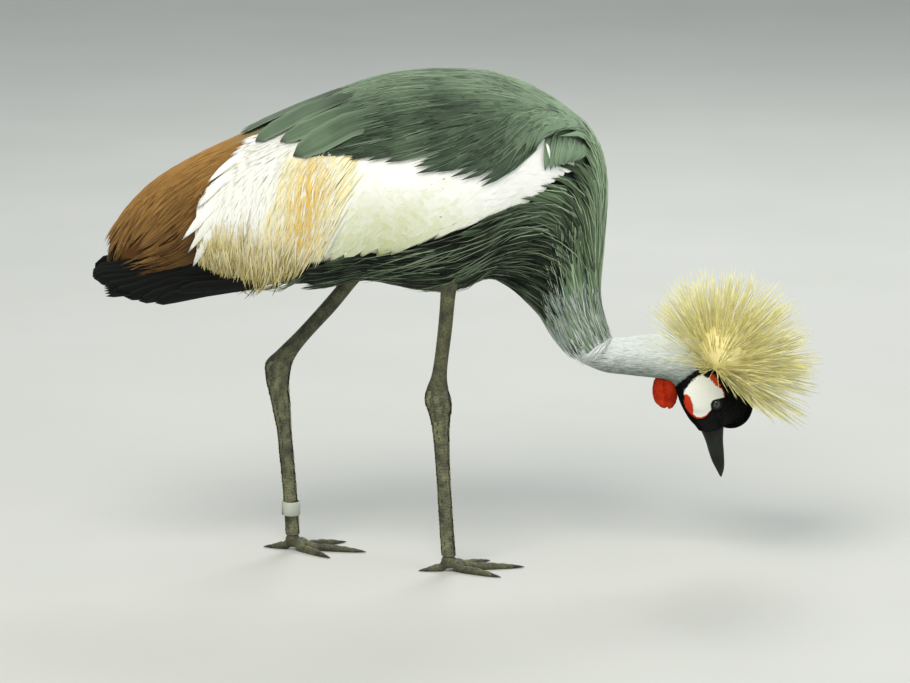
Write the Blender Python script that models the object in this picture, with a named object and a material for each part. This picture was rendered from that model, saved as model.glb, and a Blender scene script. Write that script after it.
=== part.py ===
"""Grey crowned crane, life size, standing with its head down to feed.

Metres, +Z up. The bird faces +X, its left side is +Y, and the origin is on the floor
under the middle of its bounding box. Run with: blender --background --python part.py
"""
import math
import random

import bpy
import bmesh
from mathutils import Vector

# Fits and limits
GAP = 0.0003            # space between two nodes that touch
SEED = 7                # for the small variations of the feathers
SIDES = {"R": -1, "L": 1}

# Outline of the feathered body as rungs from the upper outline to the lower one:
# top x, top z, bottom x, bottom z, half width, fullness of the lower half.
BODY_RUNGS = (
    (-0.400, 0.367, -0.393, 0.341, 0.010, 2.0),    # 0 tips of the folded wings
    (-0.378, 0.401, -0.367, 0.330, 0.030, 2.2),    # 1
    (-0.345, 0.435, -0.328, 0.333, 0.044, 2.4),    # 2
    (-0.298, 0.464, -0.288, 0.338, 0.056, 2.6),    # 3
    (-0.249, 0.487, -0.249, 0.330, 0.068, 2.8),    # 4 rump
    (-0.198, 0.511, -0.203, 0.320, 0.080, 2.8),    # 5
    (-0.147, 0.535, -0.153, 0.322, 0.089, 2.6),    # 6
    (-0.102, 0.552, -0.107, 0.331, 0.095, 2.4),    # 7
    (-0.057, 0.561, -0.062, 0.322, 0.099, 2.2),    # 8
    (-0.011, 0.563, -0.017, 0.315, 0.099, 2.0),    # 9 deepest part of the belly
    (0.034, 0.560, 0.009, 0.322, 0.095, 2.0),      # 10
    (0.070, 0.549, 0.022, 0.330, 0.088, 2.0),      # 11
    (0.104, 0.531, 0.031, 0.333, 0.078, 2.0),      # 12 hollow between belly and neck
    (0.136, 0.505, 0.040, 0.330, 0.067, 2.0),      # 13 shoulders
    (0.155, 0.475, 0.049, 0.326, 0.058, 2.0),      # 14
    (0.162, 0.442, 0.058, 0.320, 0.051, 2.0),      # 15
    (0.162, 0.411, 0.067, 0.312, 0.045, 2.0),      # 16
    (0.160, 0.382, 0.076, 0.304, 0.040, 2.0),      # 17
    (0.158, 0.353, 0.084, 0.295, 0.036, 2.0),      # 18
    (0.156, 0.325, 0.092, 0.283, 0.033, 2.0),      # 19
    (0.157, 0.298, 0.101, 0.269, 0.031, 2.0),      # 20
    (0.162, 0.278, 0.112, 0.253, 0.029, 2.0),      # 21
    (0.168, 0.261, 0.126, 0.238, 0.026, 2.0),      # 22 hem of the long neck feathers
)
# The trunk's own rungs behind station 4, where it narrows between the wings.
RUMP_RUNGS = (
    (-0.292, 0.440, -0.284, 0.352, 0.022, 2.2),
    (-0.270, 0.466, -0.264, 0.338, 0.048, 2.4),
)
RUMP_JOINS = 4          # body station that follows the rump rungs
# Slender upper neck and skull, from the hem of the long feathers to the root of the bill.
HEAD_RUNGS = (
    (0.1662, 0.2600, 0.1278, 0.2390, 0.0235, 2.0), # 0
    (0.176, 0.2575, 0.142, 0.2275, 0.0222, 2.0),   # 1
    (0.189, 0.2575, 0.163, 0.219, 0.0205, 2.0),    # 2
    (0.204, 0.2605, 0.185, 0.216, 0.0195, 2.0),    # 3
    (0.220, 0.2615, 0.207, 0.2135, 0.0195, 2.0),   # 4
    (0.236, 0.2605, 0.226, 0.2115, 0.0195, 2.0),   # 5
    (0.254, 0.2575, 0.238, 0.2085, 0.0200, 2.0),   # 6 nape
    (0.274, 0.253, 0.244, 0.202, 0.0207, 2.0),     # 7
    (0.293, 0.244, 0.2475, 0.193, 0.0212, 2.0),    # 8
    (0.304, 0.229, 0.251, 0.183, 0.0207, 2.0),     # 9
    (0.307, 0.210, 0.2555, 0.174, 0.0192, 2.0),    # 10 eyes
    (0.306, 0.190, 0.261, 0.165, 0.0168, 2.0),     # 11
    (0.303, 0.171, 0.268, 0.157, 0.0138, 2.0),     # 12
    (0.2995, 0.1555, 0.2728, 0.1505, 0.0108, 2.0), # 13 root of the bill
)
TORSO_END = 14.0        # body station where the trunk meets the lower neck
NECK_END = 22.0
NAPE = 6.0              # head station where the upper neck meets the skull

# Bill: culmen x, z, mouth line x, z, chin line x, z, half width.
BILL_RUNGS = (
    (0.2990, 0.1540, 0.2830, 0.1513, 0.2735, 0.1500, 0.0098),
    (0.2986, 0.1400, 0.2868, 0.1390, 0.2785, 0.1385, 0.0072),
    (0.2995, 0.1265, 0.2898, 0.1262, 0.2822, 0.1262, 0.0056),
    (0.3002, 0.1150, 0.2926, 0.1148, 0.2862, 0.1148, 0.0044),
    (0.2998, 0.1052, 0.2948, 0.1048, 0.2912, 0.1050, 0.0032),
    (0.2972, 0.0965, 0.2962, 0.0968, 0.2950, 0.0978, 0.0014),
)

# Head fittings
FOREHEAD_CENTRE = (0.3055, 0.0, 0.1805)
FOREHEAD_SIZE = (0.0250, 0.0172, 0.0265)
EYE_CENTRE = (0.2893, 0.0122, 0.1845)
EYE_RADIUS = 0.0066
LID_RADIUS = 0.0060
LID_WIRE = 0.0015
CHEEK_CENTRE = (0.2735, 0.0128, 0.1965)
CHEEK_SIZE = (0.0205, 0.0095, 0.0225)
CREST_ORIGIN = (0.288, 0.0, 0.2275)     # point from which the bristles fan out
CREST_CENTRE = (0.287, 0.0, 0.2365)     # middle of the pad that holds their roots
CREST_CORE = (0.0185, 0.0225, 0.0165)
CREST_AXIS = math.radians(50.0)         # rise of the fan's axis above straight ahead
CREST_SPREAD = (84.0, 101.0)            # opening from the axis, fore and aft and to the sides
CREST_LENGTH = 0.118
CREST_ROOT = 0.0014     # bristle half thickness at the root
CREST_COUNT = 96

# Wing blade: body station, upper edge angle, lower edge angle, in degrees from the back's midline.
WING_EDGES = (
    (1.35, 9.0, 128.0),
    (2.0, 6.0, 142.0),
    (3.0, 6.0, 147.0),
    (4.0, 14.0, 146.0),
    (5.0, 40.0, 146.0),
    (6.0, 64.0, 146.0),
    (7.0, 77.0, 147.0),
    (8.0, 83.0, 136.0),
    (9.0, 85.0, 124.0),
    (10.0, 86.0, 118.0),
    (11.0, 80.0, 112.0),
    (12.0, 68.0, 100.0),
    (13.0, 52.0, 72.0),
    (13.3, 54.0, 64.0),
)
BLADE_DEPTH = 0.0095    # how deep the blade lies in the body's outline
BLADE_COLUMNS = 12
BLADE_ROWS = 4

# Legs: front x, z, back x, z, half width, fullness, distance from the midline.
NEAR_LEG_RUNGS = (
    (0.004, 0.350, -0.026, 0.350, 0.0120, 2.0, 0.043),
    (-0.004, 0.323, -0.022, 0.323, 0.0088, 2.0, 0.045),
    (-0.009, 0.277, -0.025, 0.277, 0.0068, 2.0, 0.047),
    (-0.0145, 0.230, -0.031, 0.230, 0.0066, 2.0, 0.048),
    (-0.0130, 0.209, -0.0375, 0.210, 0.0085, 2.0, 0.048),
    (-0.0102, 0.196, -0.0395, 0.197, 0.0100, 2.0, 0.048),
    (-0.0100, 0.185, -0.0370, 0.187, 0.0095, 2.0, 0.048),
    (-0.0120, 0.168, -0.0322, 0.171, 0.0076, 2.0, 0.048),
    (-0.0122, 0.140, -0.0286, 0.140, 0.0060, 2.0, 0.049),
    (-0.0112, 0.105, -0.0260, 0.105, 0.0056, 2.0, 0.050),
    (-0.0085, 0.060, -0.0235, 0.060, 0.0056, 2.0, 0.052),
    (-0.0062, 0.030, -0.0215, 0.030, 0.0062, 2.0, 0.053),
    (-0.0052, 0.018, -0.0205, 0.018, 0.0076, 2.0, 0.053),
)
FAR_LEG_RUNGS = (
    (-0.088, 0.344, -0.104, 0.356, 0.0120, 2.0, 0.043),
    (-0.116, 0.312, -0.1325, 0.318, 0.0088, 2.0, 0.045),
    (-0.141, 0.281, -0.159, 0.286, 0.0068, 2.0, 0.046),
    (-0.1680, 0.2515, -0.186, 0.256, 0.0066, 2.0, 0.046),
    (-0.1830, 0.2330, -0.2080, 0.2340, 0.0080, 2.0, 0.046),
    (-0.1910, 0.2190, -0.2205, 0.2215, 0.0098, 2.0, 0.046),
    (-0.1938, 0.2090, -0.2220, 0.2090, 0.0100, 2.0, 0.046),
    (-0.1955, 0.1920, -0.2200, 0.1950, 0.0088, 2.0, 0.046),
    (-0.1942, 0.1720, -0.2155, 0.1740, 0.0070, 2.0, 0.046),
    (-0.1932, 0.1440, -0.2095, 0.1440, 0.0059, 2.0, 0.046),
    (-0.1905, 0.1090, -0.2060, 0.1090, 0.0056, 2.0, 0.046),
    (-0.1878, 0.0740, -0.2030, 0.0740, 0.0056, 2.0, 0.046),
    (-0.1855, 0.0400, -0.2008, 0.0400, 0.0060, 2.0, 0.046),
    (-0.1845, 0.0180, -0.1998, 0.0180, 0.0076, 2.0, 0.046),
)
NEAR_HOCK = 5.0         # station of the joint between shin and foot bone
FAR_HOCK = 6.0

# Foot: toe name, angle from straight ahead (outwards is positive), length, claw length.
TOES = (
    ("middle", -4.0, 0.074, 0.0125),
    ("inner", -38.0, 0.052, 0.0115),
    ("outer", 34.0, 0.057, 0.0110),
    ("hind", 176.0, 0.024, 0.0105),
)
TOE_RADIUS = 0.0050
ANKLE_HEIGHT = 0.0150
FOOT_YAW = {"R": 4.0, "L": -8.0}

# Leg band on the far leg
BAND_BOTTOM = 0.0410
BAND_TOP = 0.0570
BAND_INNER = 0.0089
BAND_WALL = 0.0012

# Feather thickness in the solids
VANE_THICK = 0.0022
TAIL_LINE = (           # x, z and half width of the fan along the tail's middle feathers
    (-0.280, 0.372, 0.004),
    (-0.300, 0.346, 0.010),
    (-0.330, 0.326, 0.018),
    (-0.372, 0.313, 0.030),
    (-0.410, 0.305, 0.040),
)
TAIL_COUNT = 8


def catmull(a, b, c, d, t):
    """Smooth value between b and c."""
    return 0.5 * (2 * b + (c - a) * t + (2 * a - 5 * b + 4 * c - d) * t * t
                  + (3 * b - a - 3 * c + d) * t ** 3)


def lerp(a, b, t):
    return a + (b - a) * t


def between(rows, s):
    """A row of numbers at the fractional row number s."""
    last = len(rows) - 1
    i = min(max(int(math.floor(s)), 0), last - 1)
    near = (rows[max(i - 1, 0)], rows[i], rows[i + 1], rows[min(i + 2, last)])
    return [catmull(*values, s - i) for values in zip(*near)]


class Ladder:
    """A rounded body whose sections hang on rungs drawn in the side view."""

    def __init__(self, rungs, side=1):
        self.rungs = [tuple(r) + (0.0,) * (7 - len(r)) for r in rungs]
        self.side = side

    def flat(self, s):
        """Middle of the section, half rung, half width and fullness."""
        tx, tz, bx, bz, width, full, out = between(self.rungs, s)
        y = out * self.side
        middle = Vector(((tx + bx) / 2, y, (tz + bz) / 2))
        return middle, Vector(((tx - bx) / 2, 0, (tz - bz) / 2)), width, full

    def point(self, s, angle, lift=0.0):
        """Point at an angle round the section: 0 on top, positive towards +Y."""
        middle, half, width, full = self.flat(s)
        c, sn = math.cos(angle), math.sin(angle)
        power = 2 / full if c < 0 else 1.0
        wide = math.copysign(abs(sn) ** power, sn)
        p = middle + half * c + Vector((0, width * wide, 0))
        return p + self.normal(s, angle) * lift if lift else p

    def normal(self, s, angle):
        step = 0.02
        along = self.point(s + step, angle) - self.point(s - step, angle)
        around = self.point(s, angle + step) - self.point(s, angle - step)
        return along.cross(around).normalized()

    def ring(self, s, count, grow=0.0, shift=0.0):
        """The section's points, grown in its plane and moved along the plane's normal."""
        middle, half, width, full = self.flat(s)
        ahead = self.flat(s + 0.1)[0] - self.flat(s - 0.1)[0]
        across = half.cross(Vector((0, 1, 0))).normalized()
        middle += across * math.copysign(1, across.dot(ahead)) * shift
        half = half * (1 + grow / half.length)
        ring = []
        for k in range(count):
            turn = 2 * math.pi * k / count
            c, sn = math.cos(turn), math.sin(turn)
            wide = math.copysign(abs(sn) ** (2 / full if c < 0 else 1.0), sn)
            ring.append(middle + half * c + Vector((0, (width + grow) * wide, 0)))
        return ring

    def holds(self, p, margin):
        """True where p lies in the body, or within the margin of it."""
        best = None
        for i in range(10 * (len(self.rungs) - 1) + 1):
            middle, half, width, _ = self.flat(i / 10)
            off = Vector((p.x - middle.x, 0, p.z - middle.z))
            c = off.dot(half) / half.length_squared
            away = (off - half * c).length
            if abs(c) < 1.0 + margin / half.length and (best is None or away < best[0]):
                best = (away, c, width)
        if best is None or best[0] > 0.006:
            return False
        reach = best[2] * math.sqrt(max(0.0, 1 - min(1.0, abs(best[1])) ** 2)) + margin
        return abs(p.y) < reach


def mesh_object(name, points, faces):
    """A closed mesh object with its faces turned outwards."""
    mesh = bpy.data.meshes.new(name)
    mesh.from_pydata([tuple(p) for p in points], [], faces)
    work = bmesh.new()
    work.from_mesh(mesh)
    lone = [v for v in work.verts if not v.link_faces]
    bmesh.ops.delete(work, geom=lone, context="VERTS")
    bmesh.ops.recalc_face_normals(work, faces=work.faces)
    work.to_mesh(mesh)
    work.free()
    obj = bpy.data.objects.new(name, mesh)
    bpy.context.scene.collection.objects.link(obj)
    return obj


def loft(name, rings, tip_start=None, tip_end=None):
    """Skins rings of equal count. Each end closes on a tip, or with a flat face."""
    count = len(rings[0])
    points = [p for ring in rings for p in ring]
    faces = []
    for r in range(len(rings) - 1):
        for k in range(count):
            a, b = r * count + k, r * count + (k + 1) % count
            c, d = b + count, a + count
            faces += [(a, b, c), (a, c, d)]
    for start, tip in ((0, tip_start), ((len(rings) - 1) * count, tip_end)):
        if tip is None:
            faces.append(tuple(range(start, start + count)))
            continue
        points.append(Vector(tip))
        faces += [(start + k, start + (k + 1) % count, len(points) - 1) for k in range(count)]
    return mesh_object(name, points, faces)


def ladder_loft(name, ladder, first, last, steps, count, grow=0.0):
    """A length of a ladder, with its end faces drawn back by half the gap."""
    inset = GAP / 2
    rings = []
    for i in range(steps + 1):
        shift = inset if i == 0 else -inset if i == steps else 0.0
        rings.append(ladder.ring(lerp(first, last, i / steps), count, grow, shift))
    return loft(name, rings)


def ellipsoid(name, centre, size, around=16, rows=9, grow=0.0):
    """A closed ellipsoid with its poles on the Y axis."""
    centre = Vector(centre)
    half = [v + grow for v in size]
    rings = []
    for r in range(1, rows):
        tilt = math.pi * r / rows
        rings.append([centre + Vector((half[0] * math.sin(tilt) * math.cos(2 * math.pi * k / around),
                                       half[1] * math.cos(tilt),
                                       half[2] * math.sin(tilt) * math.sin(2 * math.pi * k / around)))
                      for k in range(around)])
    pole = Vector((0, half[1], 0))
    return loft(name, rings, centre + pole, centre - pole)


def tube(name, path, radii, count=8, floor=None, flatness=1.0):
    """A tapering tube along a path; with a floor, its underside is flat there."""
    rings = []
    for i, p in enumerate(path):
        ahead = (path[min(i + 1, len(path) - 1)] - path[max(i - 1, 0)]).normalized()
        across = ahead.cross(Vector((0, 0, 1)))
        if across.length < 1e-3:
            across = Vector((0, 1, 0))
        across.normalize()
        up = across.cross(ahead).normalized()
        ring = []
        for k in range(count):
            turn = 2 * math.pi * (k + 0.5) / count
            q = p + (across * math.cos(turn) + up * math.sin(turn) * flatness) * radii[i]
            if floor is not None:
                q.z = max(q.z, floor)
            ring.append(q)
        rings.append(ring)
    return loft(name, rings)


# Shares of a feather's full width from its root towards its tip.
LANCE = (0.55, 0.95, 0.95, 0.60)
BROAD = (0.55, 0.90, 1.00, 0.90)


def vane(path, normals, width, thick, shape):
    """A feather with a flat underside, a ridge along its shaft and a pointed tip."""
    rings = []
    for i in range(len(path) - 1):
        ahead = (path[i + 1] - path[max(i - 1, 0)]).normalized()
        across = normals[i].cross(ahead).normalized() * width * shape[i] / 2
        up = normals[i] * thick * lerp(1.0, 0.6, i / (len(path) - 1))
        rings.append([path[i] - across, path[i] + up, path[i] + across])
    return loft("vane", rings, None, path[-1])


def laid_vane(ladder, side, root, tip, width, lifts, shape=LANCE, bow=0.0, thick=VANE_THICK):
    """A feather that lies on a ladder: root and tip are a station and degrees from the midline."""
    path, normals = [], []
    steps = len(shape)
    for i in range(steps + 1):
        t = i / steps
        angle = lerp(root[1], tip[1], t) + bow * math.sin(math.pi * t)
        angle = math.radians(angle) * side
        s = lerp(root[0], tip[0], t)
        lift = between([(v,) for v in lifts], t * (len(lifts) - 1))[0]
        path.append(ladder.point(s, angle, lift))
        normals.append(ladder.normal(s, angle))
    return vane(path, normals, width, thick, shape)


def evaluated(obj):
    """Replaces the object's mesh with what its modifiers make of it."""
    bpy.context.view_layer.update()
    graph = bpy.context.evaluated_depsgraph_get()
    made = bpy.data.meshes.new_from_object(obj.evaluated_get(graph))
    obj.modifiers.clear()
    obj.data = made


def keep_largest(obj):
    """Drops all but the largest closed surface of the mesh."""
    work = bmesh.new()
    work.from_mesh(obj.data)
    left = set(work.faces)
    islands = []
    while left:
        island, stack = set(), [left.pop()]
        while stack:
            face = stack.pop()
            island.add(face)
            for edge in face.edges:
                for other in edge.link_faces:
                    if other in left:
                        left.discard(other)
                        stack.append(other)
        islands.append(island)
    islands.sort(key=lambda faces: sum(f.calc_area() for f in faces))
    loose = [f for island in islands[:-1] for f in island]
    if loose:
        bmesh.ops.delete(work, geom=loose, context="FACES")
    lone = [v for v in work.verts if not v.link_faces]
    bmesh.ops.delete(work, geom=lone, context="VERTS")
    work.to_mesh(obj.data)
    work.free()


def combine(obj, others, operation):
    """One Boolean with a collection of closed meshes, applied; the others are then removed."""
    if not others:
        return obj
    group = bpy.data.collections.new("pieces")
    bpy.context.scene.collection.children.link(group)
    for other in others:
        bpy.context.scene.collection.objects.unlink(other)
        group.objects.link(other)
    step = obj.modifiers.new("combine", "BOOLEAN")
    step.operation = operation
    step.operand_type = "COLLECTION"
    step.collection = group
    step.solver = "MANIFOLD"
    evaluated(obj)
    for other in others:
        bpy.data.objects.remove(other)
    bpy.data.collections.remove(group)
    keep_largest(obj)
    return obj


def fuse(obj, others):
    return combine(obj, others, "UNION")


def carve(obj, others):
    return combine(obj, others, "DIFFERENCE")


def finish(obj, name, material):
    """Gives a node its name, material and smooth shading."""
    obj.name = name
    obj.data.name = name
    obj.data.materials.clear()
    obj.data.materials.append(material)
    obj.data.shade_smooth()
    obj.data.set_sharp_from_angle(angle=math.radians(35))
    return obj


def material(name, colour, roughness):
    made = bpy.data.materials.new(name)
    made.use_nodes = True
    shader = made.node_tree.nodes["Principled BSDF"]
    shader.inputs["Base Color"].default_value = (*colour, 1.0)
    shader.inputs["Roughness"].default_value = roughness
    return made


BODY = Ladder(BODY_RUNGS)
TRUNK = Ladder(RUMP_RUNGS + BODY_RUNGS[RUMP_JOINS:])
TRUNK_SHIFT = len(RUMP_RUNGS) - RUMP_JOINS     # trunk station minus body station
HEAD = Ladder(HEAD_RUNGS)
LEGS = {"R": Ladder(NEAR_LEG_RUNGS, -1), "L": Ladder(FAR_LEG_RUNGS, 1)}
HOCKS = {"R": NEAR_HOCK, "L": FAR_HOCK}


def wing_edge(s):
    """Upper and lower angle of the wing blade at a body station, in degrees."""
    for low, high in zip(WING_EDGES, WING_EDGES[1:]):
        if s <= high[0]:
            t = (s - low[0]) / (high[0] - low[0])
            return lerp(low[1], high[1], t), lerp(low[2], high[2], t)
    return WING_EDGES[-1][1:]


def wing_blade(side, grow=0.0, outer=0.0):
    """The folded wing's blade: a curved plate that follows the body's outline."""
    first, last = WING_EDGES[0][0], WING_EDGES[-1][0]
    spare = math.degrees(grow / 0.08)
    levels = [[], [], []] if outer else [[], []]
    for i in range(BLADE_COLUMNS + 1):
        t = i / BLADE_COLUMNS
        s = lerp(first, last, t)
        upper, lower = wing_edge(s)
        s += {0: -1, BLADE_COLUMNS: 1}.get(i, 0) * grow / 0.035
        depth = BLADE_DEPTH * min(1.0, 0.45 + 2.2 * t, 0.45 + 3.0 * (1 - t)) + grow
        for k in range(BLADE_ROWS + 1):
            angle = lerp(upper - spare, lower + spare, k / BLADE_ROWS)
            angle = math.radians(angle) * side
            for level, lift in zip(levels, ([outer] if outer else []) + [0.0, -depth]):
                level.append(BODY.point(s, angle, lift))
    return plate("blade", levels, BLADE_COLUMNS, BLADE_ROWS)


def plate(name, levels, columns, rows):
    """Closes matching grids of points into one solid, split alike on both faces."""
    width = rows + 1
    count = len(levels[0])
    last = count * (len(levels) - 1)
    faces = []
    for i in range(columns):
        for k in range(rows):
            a, b = i * width + k, i * width + k + 1
            c, d = b + width, a + width
            faces += [(a, b, c), (a, c, d)]
            faces += [(last + a, last + c, last + b), (last + a, last + d, last + c)]
    rim = [i * width for i in range(columns + 1)]
    rim += [columns * width + k for k in range(1, width)]
    rim += [i * width + rows for i in range(columns - 1, -1, -1)]
    rim += [k for k in range(rows - 1, 0, -1)]
    for high in range(0, last, count):
        for a, b in zip(rim, rim[1:] + rim[:1]):
            low = high + count
            faces += [(high + a, high + b, low + b), (high + a, low + b, low + a)]
    return mesh_object(name, [p for level in levels for p in level], faces)


def wing_feathers(side, draw):
    """Tiers of the folded wing, from the shoulder's white coverts to the black primaries."""
    made = []
    count = 10
    for i in range(count):      # long chestnut feathers over the rump
        t = i / (count - 1)
        root = (lerp(4.0, 3.6, t), lerp(27, 118, t) + draw.uniform(-1, 1))
        tip = (lerp(0.15, 2.1, t ** 1.5) + draw.uniform(-0.1, 0.1), lerp(24, 150, t))
        made.append(laid_vane(BODY, side, root, tip, lerp(0.019, 0.022, t),
                              (-0.004, 0.0003, 0.0012, 0.0006), bow=4))
    count = 5
    for i in range(count):      # pointed white coverts whose tips edge the chestnut
        t = i / (count - 1)
        root = (lerp(5.3, 4.7, t), lerp(52, 112, t))
        tip = (lerp(4.05, 3.1, t) + draw.uniform(-0.1, 0.1), lerp(40, 138, t))
        made.append(laid_vane(BODY, side, root, tip, 0.022,
                              (-0.005, -0.0004, 0.0010, 0.0014), BROAD))
    count = 7
    for i in range(count):      # straw plumes that hang from the rear of the wing
        t = i / (count - 1)
        root = (lerp(4.5, 6.9, t), lerp(100, 112, t))
        tip = (lerp(3.5, 6.3, t) + draw.uniform(-0.12, 0.12), lerp(156, 150, t) + draw.uniform(-3, 4))
        made.append(laid_vane(BODY, side, root, tip, 0.0135,
                              (-0.004, 0.0010, 0.0040, 0.0044)))
    count = 4
    for i in range(count):      # black primaries under the chestnut
        t = i / (count - 1)
        root = (lerp(3.0, 4.1, t), lerp(128, 131, t))
        tip = (lerp(0.6, 2.8, t), lerp(158, 166, t))
        made.append(laid_vane(BODY, side, root, tip, 0.016,
                              (-0.006, 0.0004, 0.0040, 0.0060)))
    return made


def wing(name, side, mat):
    draw = random.Random(SEED)
    blade = wing_blade(side)
    return finish(fuse(blade, wing_feathers(side, draw)), name, mat)


def mantle_feathers(side, draw):
    """Grey feathers of the back that lie over the wing's upper edge, in two tiers."""
    made = []
    low_edge = (                # tip station and angle, along the mantle's lower edge
        (4.0, 10), (4.35, 26), (4.9, 44), (5.5, 59), (6.15, 70), (6.8, 79),
        (7.5, 85), (8.2, 89), (8.9, 92), (9.6, 94), (10.3, 94),
    )
    for s, angle in low_edge:
        high = angle - lerp(16, 26, (s - 4.0) / 6.3)
        root = (s + 1.75, min(high, wing_edge(s + 1.75)[0] - 12))
        tip = (s - 0.1 + draw.uniform(-0.08, 0.08), angle + draw.uniform(-1.5, 1.5))
        made.append(laid_vane(BODY, side, root, tip, 0.027,
                              (-0.006, 0.0016, 0.0024, 0.0024)))
    for i in range(6):
        t = i / 5
        tip = (lerp(5.0, 10.2, t), lerp(30, 76, t ** 0.7) + draw.uniform(-2, 2))
        root = (tip[0] + 1.6, tip[1] - lerp(10, 20, t))
        made.append(laid_vane(BODY, side, root, tip, 0.026,
                              (-0.005, 0.0004, 0.0030, 0.0036)))
    return made


def breast_locks(side, draw):
    """Long narrow feathers that sweep from the base of the neck back along the belly."""
    made = []
    for i in range(6):
        t = i / 5
        root = (lerp(13.5, 12.8, t), lerp(92, 162, t))
        tip = (lerp(10.8, 10.3, t) + draw.uniform(-0.2, 0.2), lerp(130, 168, t) + draw.uniform(-2, 2))
        if i in (1, 2):
            tip = (8.0 + 0.4 * i, 136 + 5 * i)
        made.append(laid_vane(BODY, side, root, tip, 0.015,
                              (-0.004, 0.0010, 0.0018, 0.0010)))
    return made


def torso(mat):
    draw = random.Random(SEED + 1)
    made = ladder_loft("torso", TRUNK, 0.0, TORSO_END + TRUNK_SHIFT, 15, 20)
    carve(made, [wing_blade(side, GAP, 0.012) for side in SIDES.values()])
    feathers = []
    for side in SIDES.values():
        feathers += mantle_feathers(side, draw) + breast_locks(side, draw)
    fuse(made, feathers)
    carve(made, [shin(key, GAP) for key in SIDES])
    return finish(made, "torso", mat)


def neck_lower(mat):
    """The lower neck, with a skirt of long narrow feathers that hang towards the head."""
    draw = random.Random(SEED + 2)
    made = ladder_loft("neck_lower", BODY, TORSO_END, NECK_END, 10, 14, -0.001)
    locks = []
    for row, (first, reach) in enumerate(((14.6, 3.4), (17.2, 3.0), (19.3, 2.9))):
        around = 9
        for k in range(around):
            angle = (k + 0.5 * (row % 2)) * 360 / around + draw.uniform(-4, 4)
            angle = (angle + 180) % 360 - 180
            if abs(angle) > 150 and row == 0:
                continue
            root = (first + draw.uniform(-0.2, 0.2), angle)
            tip = (min(first + reach + draw.uniform(-0.3, 0.3), NECK_END + 0.25), angle * 1.03)
            locks.append(laid_vane(BODY, 1, root, tip, lerp(0.016, 0.012, row / 2),
                                   (-0.004, 0.0002, 0.0016, 0.0014), thick=0.0018))
    return finish(fuse(made, locks), "neck_lower", mat)


def neck_upper(mat):
    made = ladder_loft("neck_upper", HEAD, 0.0, NAPE, 8, 16)
    return finish(made, "neck_upper", mat)


def lid_ring(side):
    """The rim of bare skin round an eye."""
    centre = Vector((EYE_CENTRE[0], EYE_CENTRE[1] * side, EYE_CENTRE[2]))
    out = Vector((0.12, side, 0.05)).normalized()
    middle = centre + out * 0.0042
    first = out.cross(Vector((0, 0, 1))).normalized()
    second = out.cross(first).normalized()
    around, wire = 10, 5
    points, faces = [], []
    for k in range(around):
        turn = 2 * math.pi * k / around
        spoke = first * math.cos(turn) + second * math.sin(turn)
        for j in range(wire):
            roll = 2 * math.pi * j / wire
            points.append(middle + spoke * (LID_RADIUS + LID_WIRE * math.cos(roll))
                          + out * LID_WIRE * math.sin(roll))
    for k in range(around):
        for j in range(wire):
            a, b = k * wire + j, k * wire + (j + 1) % wire
            c, d = ((k + 1) % around) * wire + (j + 1) % wire, ((k + 1) % around) * wire + j
            faces += [(a, b, c), (a, c, d)]
    return mesh_object("lid", points, faces)


def eyeball(side, grow=0.0):
    centre = (EYE_CENTRE[0], EYE_CENTRE[1] * side, EYE_CENTRE[2])
    return ellipsoid("eye", centre, (EYE_RADIUS,) * 3, 12, 7, grow)


def bill_half(upper, grow=0.0):
    """One half of the bill: a half ellipse on the flat of the mouth line."""
    rings = []
    steps = 8
    count = 4
    for i in range(steps + 1):
        t = i / steps
        cx, cz, mx, mz, gx, gz, width = between(BILL_RUNGS, t * (len(BILL_RUNGS) - 1))
        ridge = Vector((cx, 0, cz)) if upper else Vector((gx, 0, gz))
        mouth = Vector((mx, 0, mz))
        away = (ridge - mouth).normalized()
        base = mouth + away * (GAP * 0.8 - grow)
        height = (ridge - base).length + grow
        width = (width + grow) * (1.0 if upper else 0.92)
        ring = []
        for k in range(-count, count + 1):
            turn = math.pi / 2 * k / count
            ring.append(base + away * height * math.cos(turn) + Vector((0, width * math.sin(turn), 0)))
        rings.append(ring)
    if grow:
        lift = Vector((0, 0, grow))
        rings[0] = [p + lift for p in rings[0]]
    return loft("bill", rings)


def nostril(side):
    return ellipsoid("nostril", (0.2935, side * 0.0072, 0.1375), (0.0011, 0.0022, 0.0052), 8, 6)


def head(mat):
    """Skull with the domed forehead, bare cheeks and the rims of the eyes."""
    made = ladder_loft("head", HEAD, NAPE, 13.0, 11, 18)
    extra = [ellipsoid("forehead", FOREHEAD_CENTRE, FOREHEAD_SIZE, 14, 8)]
    for side in SIDES.values():
        x, y, z = CHEEK_CENTRE
        extra.append(ellipsoid("cheek", (x, y * side, z), CHEEK_SIZE, 14, 7))
    fuse(made, extra)
    fuse(made, [lid_ring(side) for side in SIDES.values()])
    cutters = [eyeball(side, GAP) for side in SIDES.values()]
    cutters += [bill_half(True, GAP), bill_half(False, GAP)]
    cutters.append(ellipsoid("core", CREST_CENTRE, CREST_CORE, 14, 8, GAP))
    carve(made, cutters)
    return finish(made, "head", mat)


def in_ellipsoid(p, centre, size, margin):
    off = [(p[i] - centre[i]) / (size[i] + margin) for i in range(3)]
    return sum(v * v for v in off) < 1


def meets_head(root, tip):
    """True where a bristle would touch the head beyond the crest's own pad."""
    for i in range(30):
        p = root.lerp(tip, i / 29)
        if in_ellipsoid(p, CREST_CENTRE, CREST_CORE, -0.0022):
            continue
        cheek = (CHEEK_CENTRE[0], math.copysign(CHEEK_CENTRE[1], p.y), CHEEK_CENTRE[2])
        if (HEAD.holds(p, 0.0018) or in_ellipsoid(p, cheek, CHEEK_SIZE, 0.002)
                or in_ellipsoid(p, FOREHEAD_CENTRE, FOREHEAD_SIZE, 0.002)):
            return True
    return False


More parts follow.
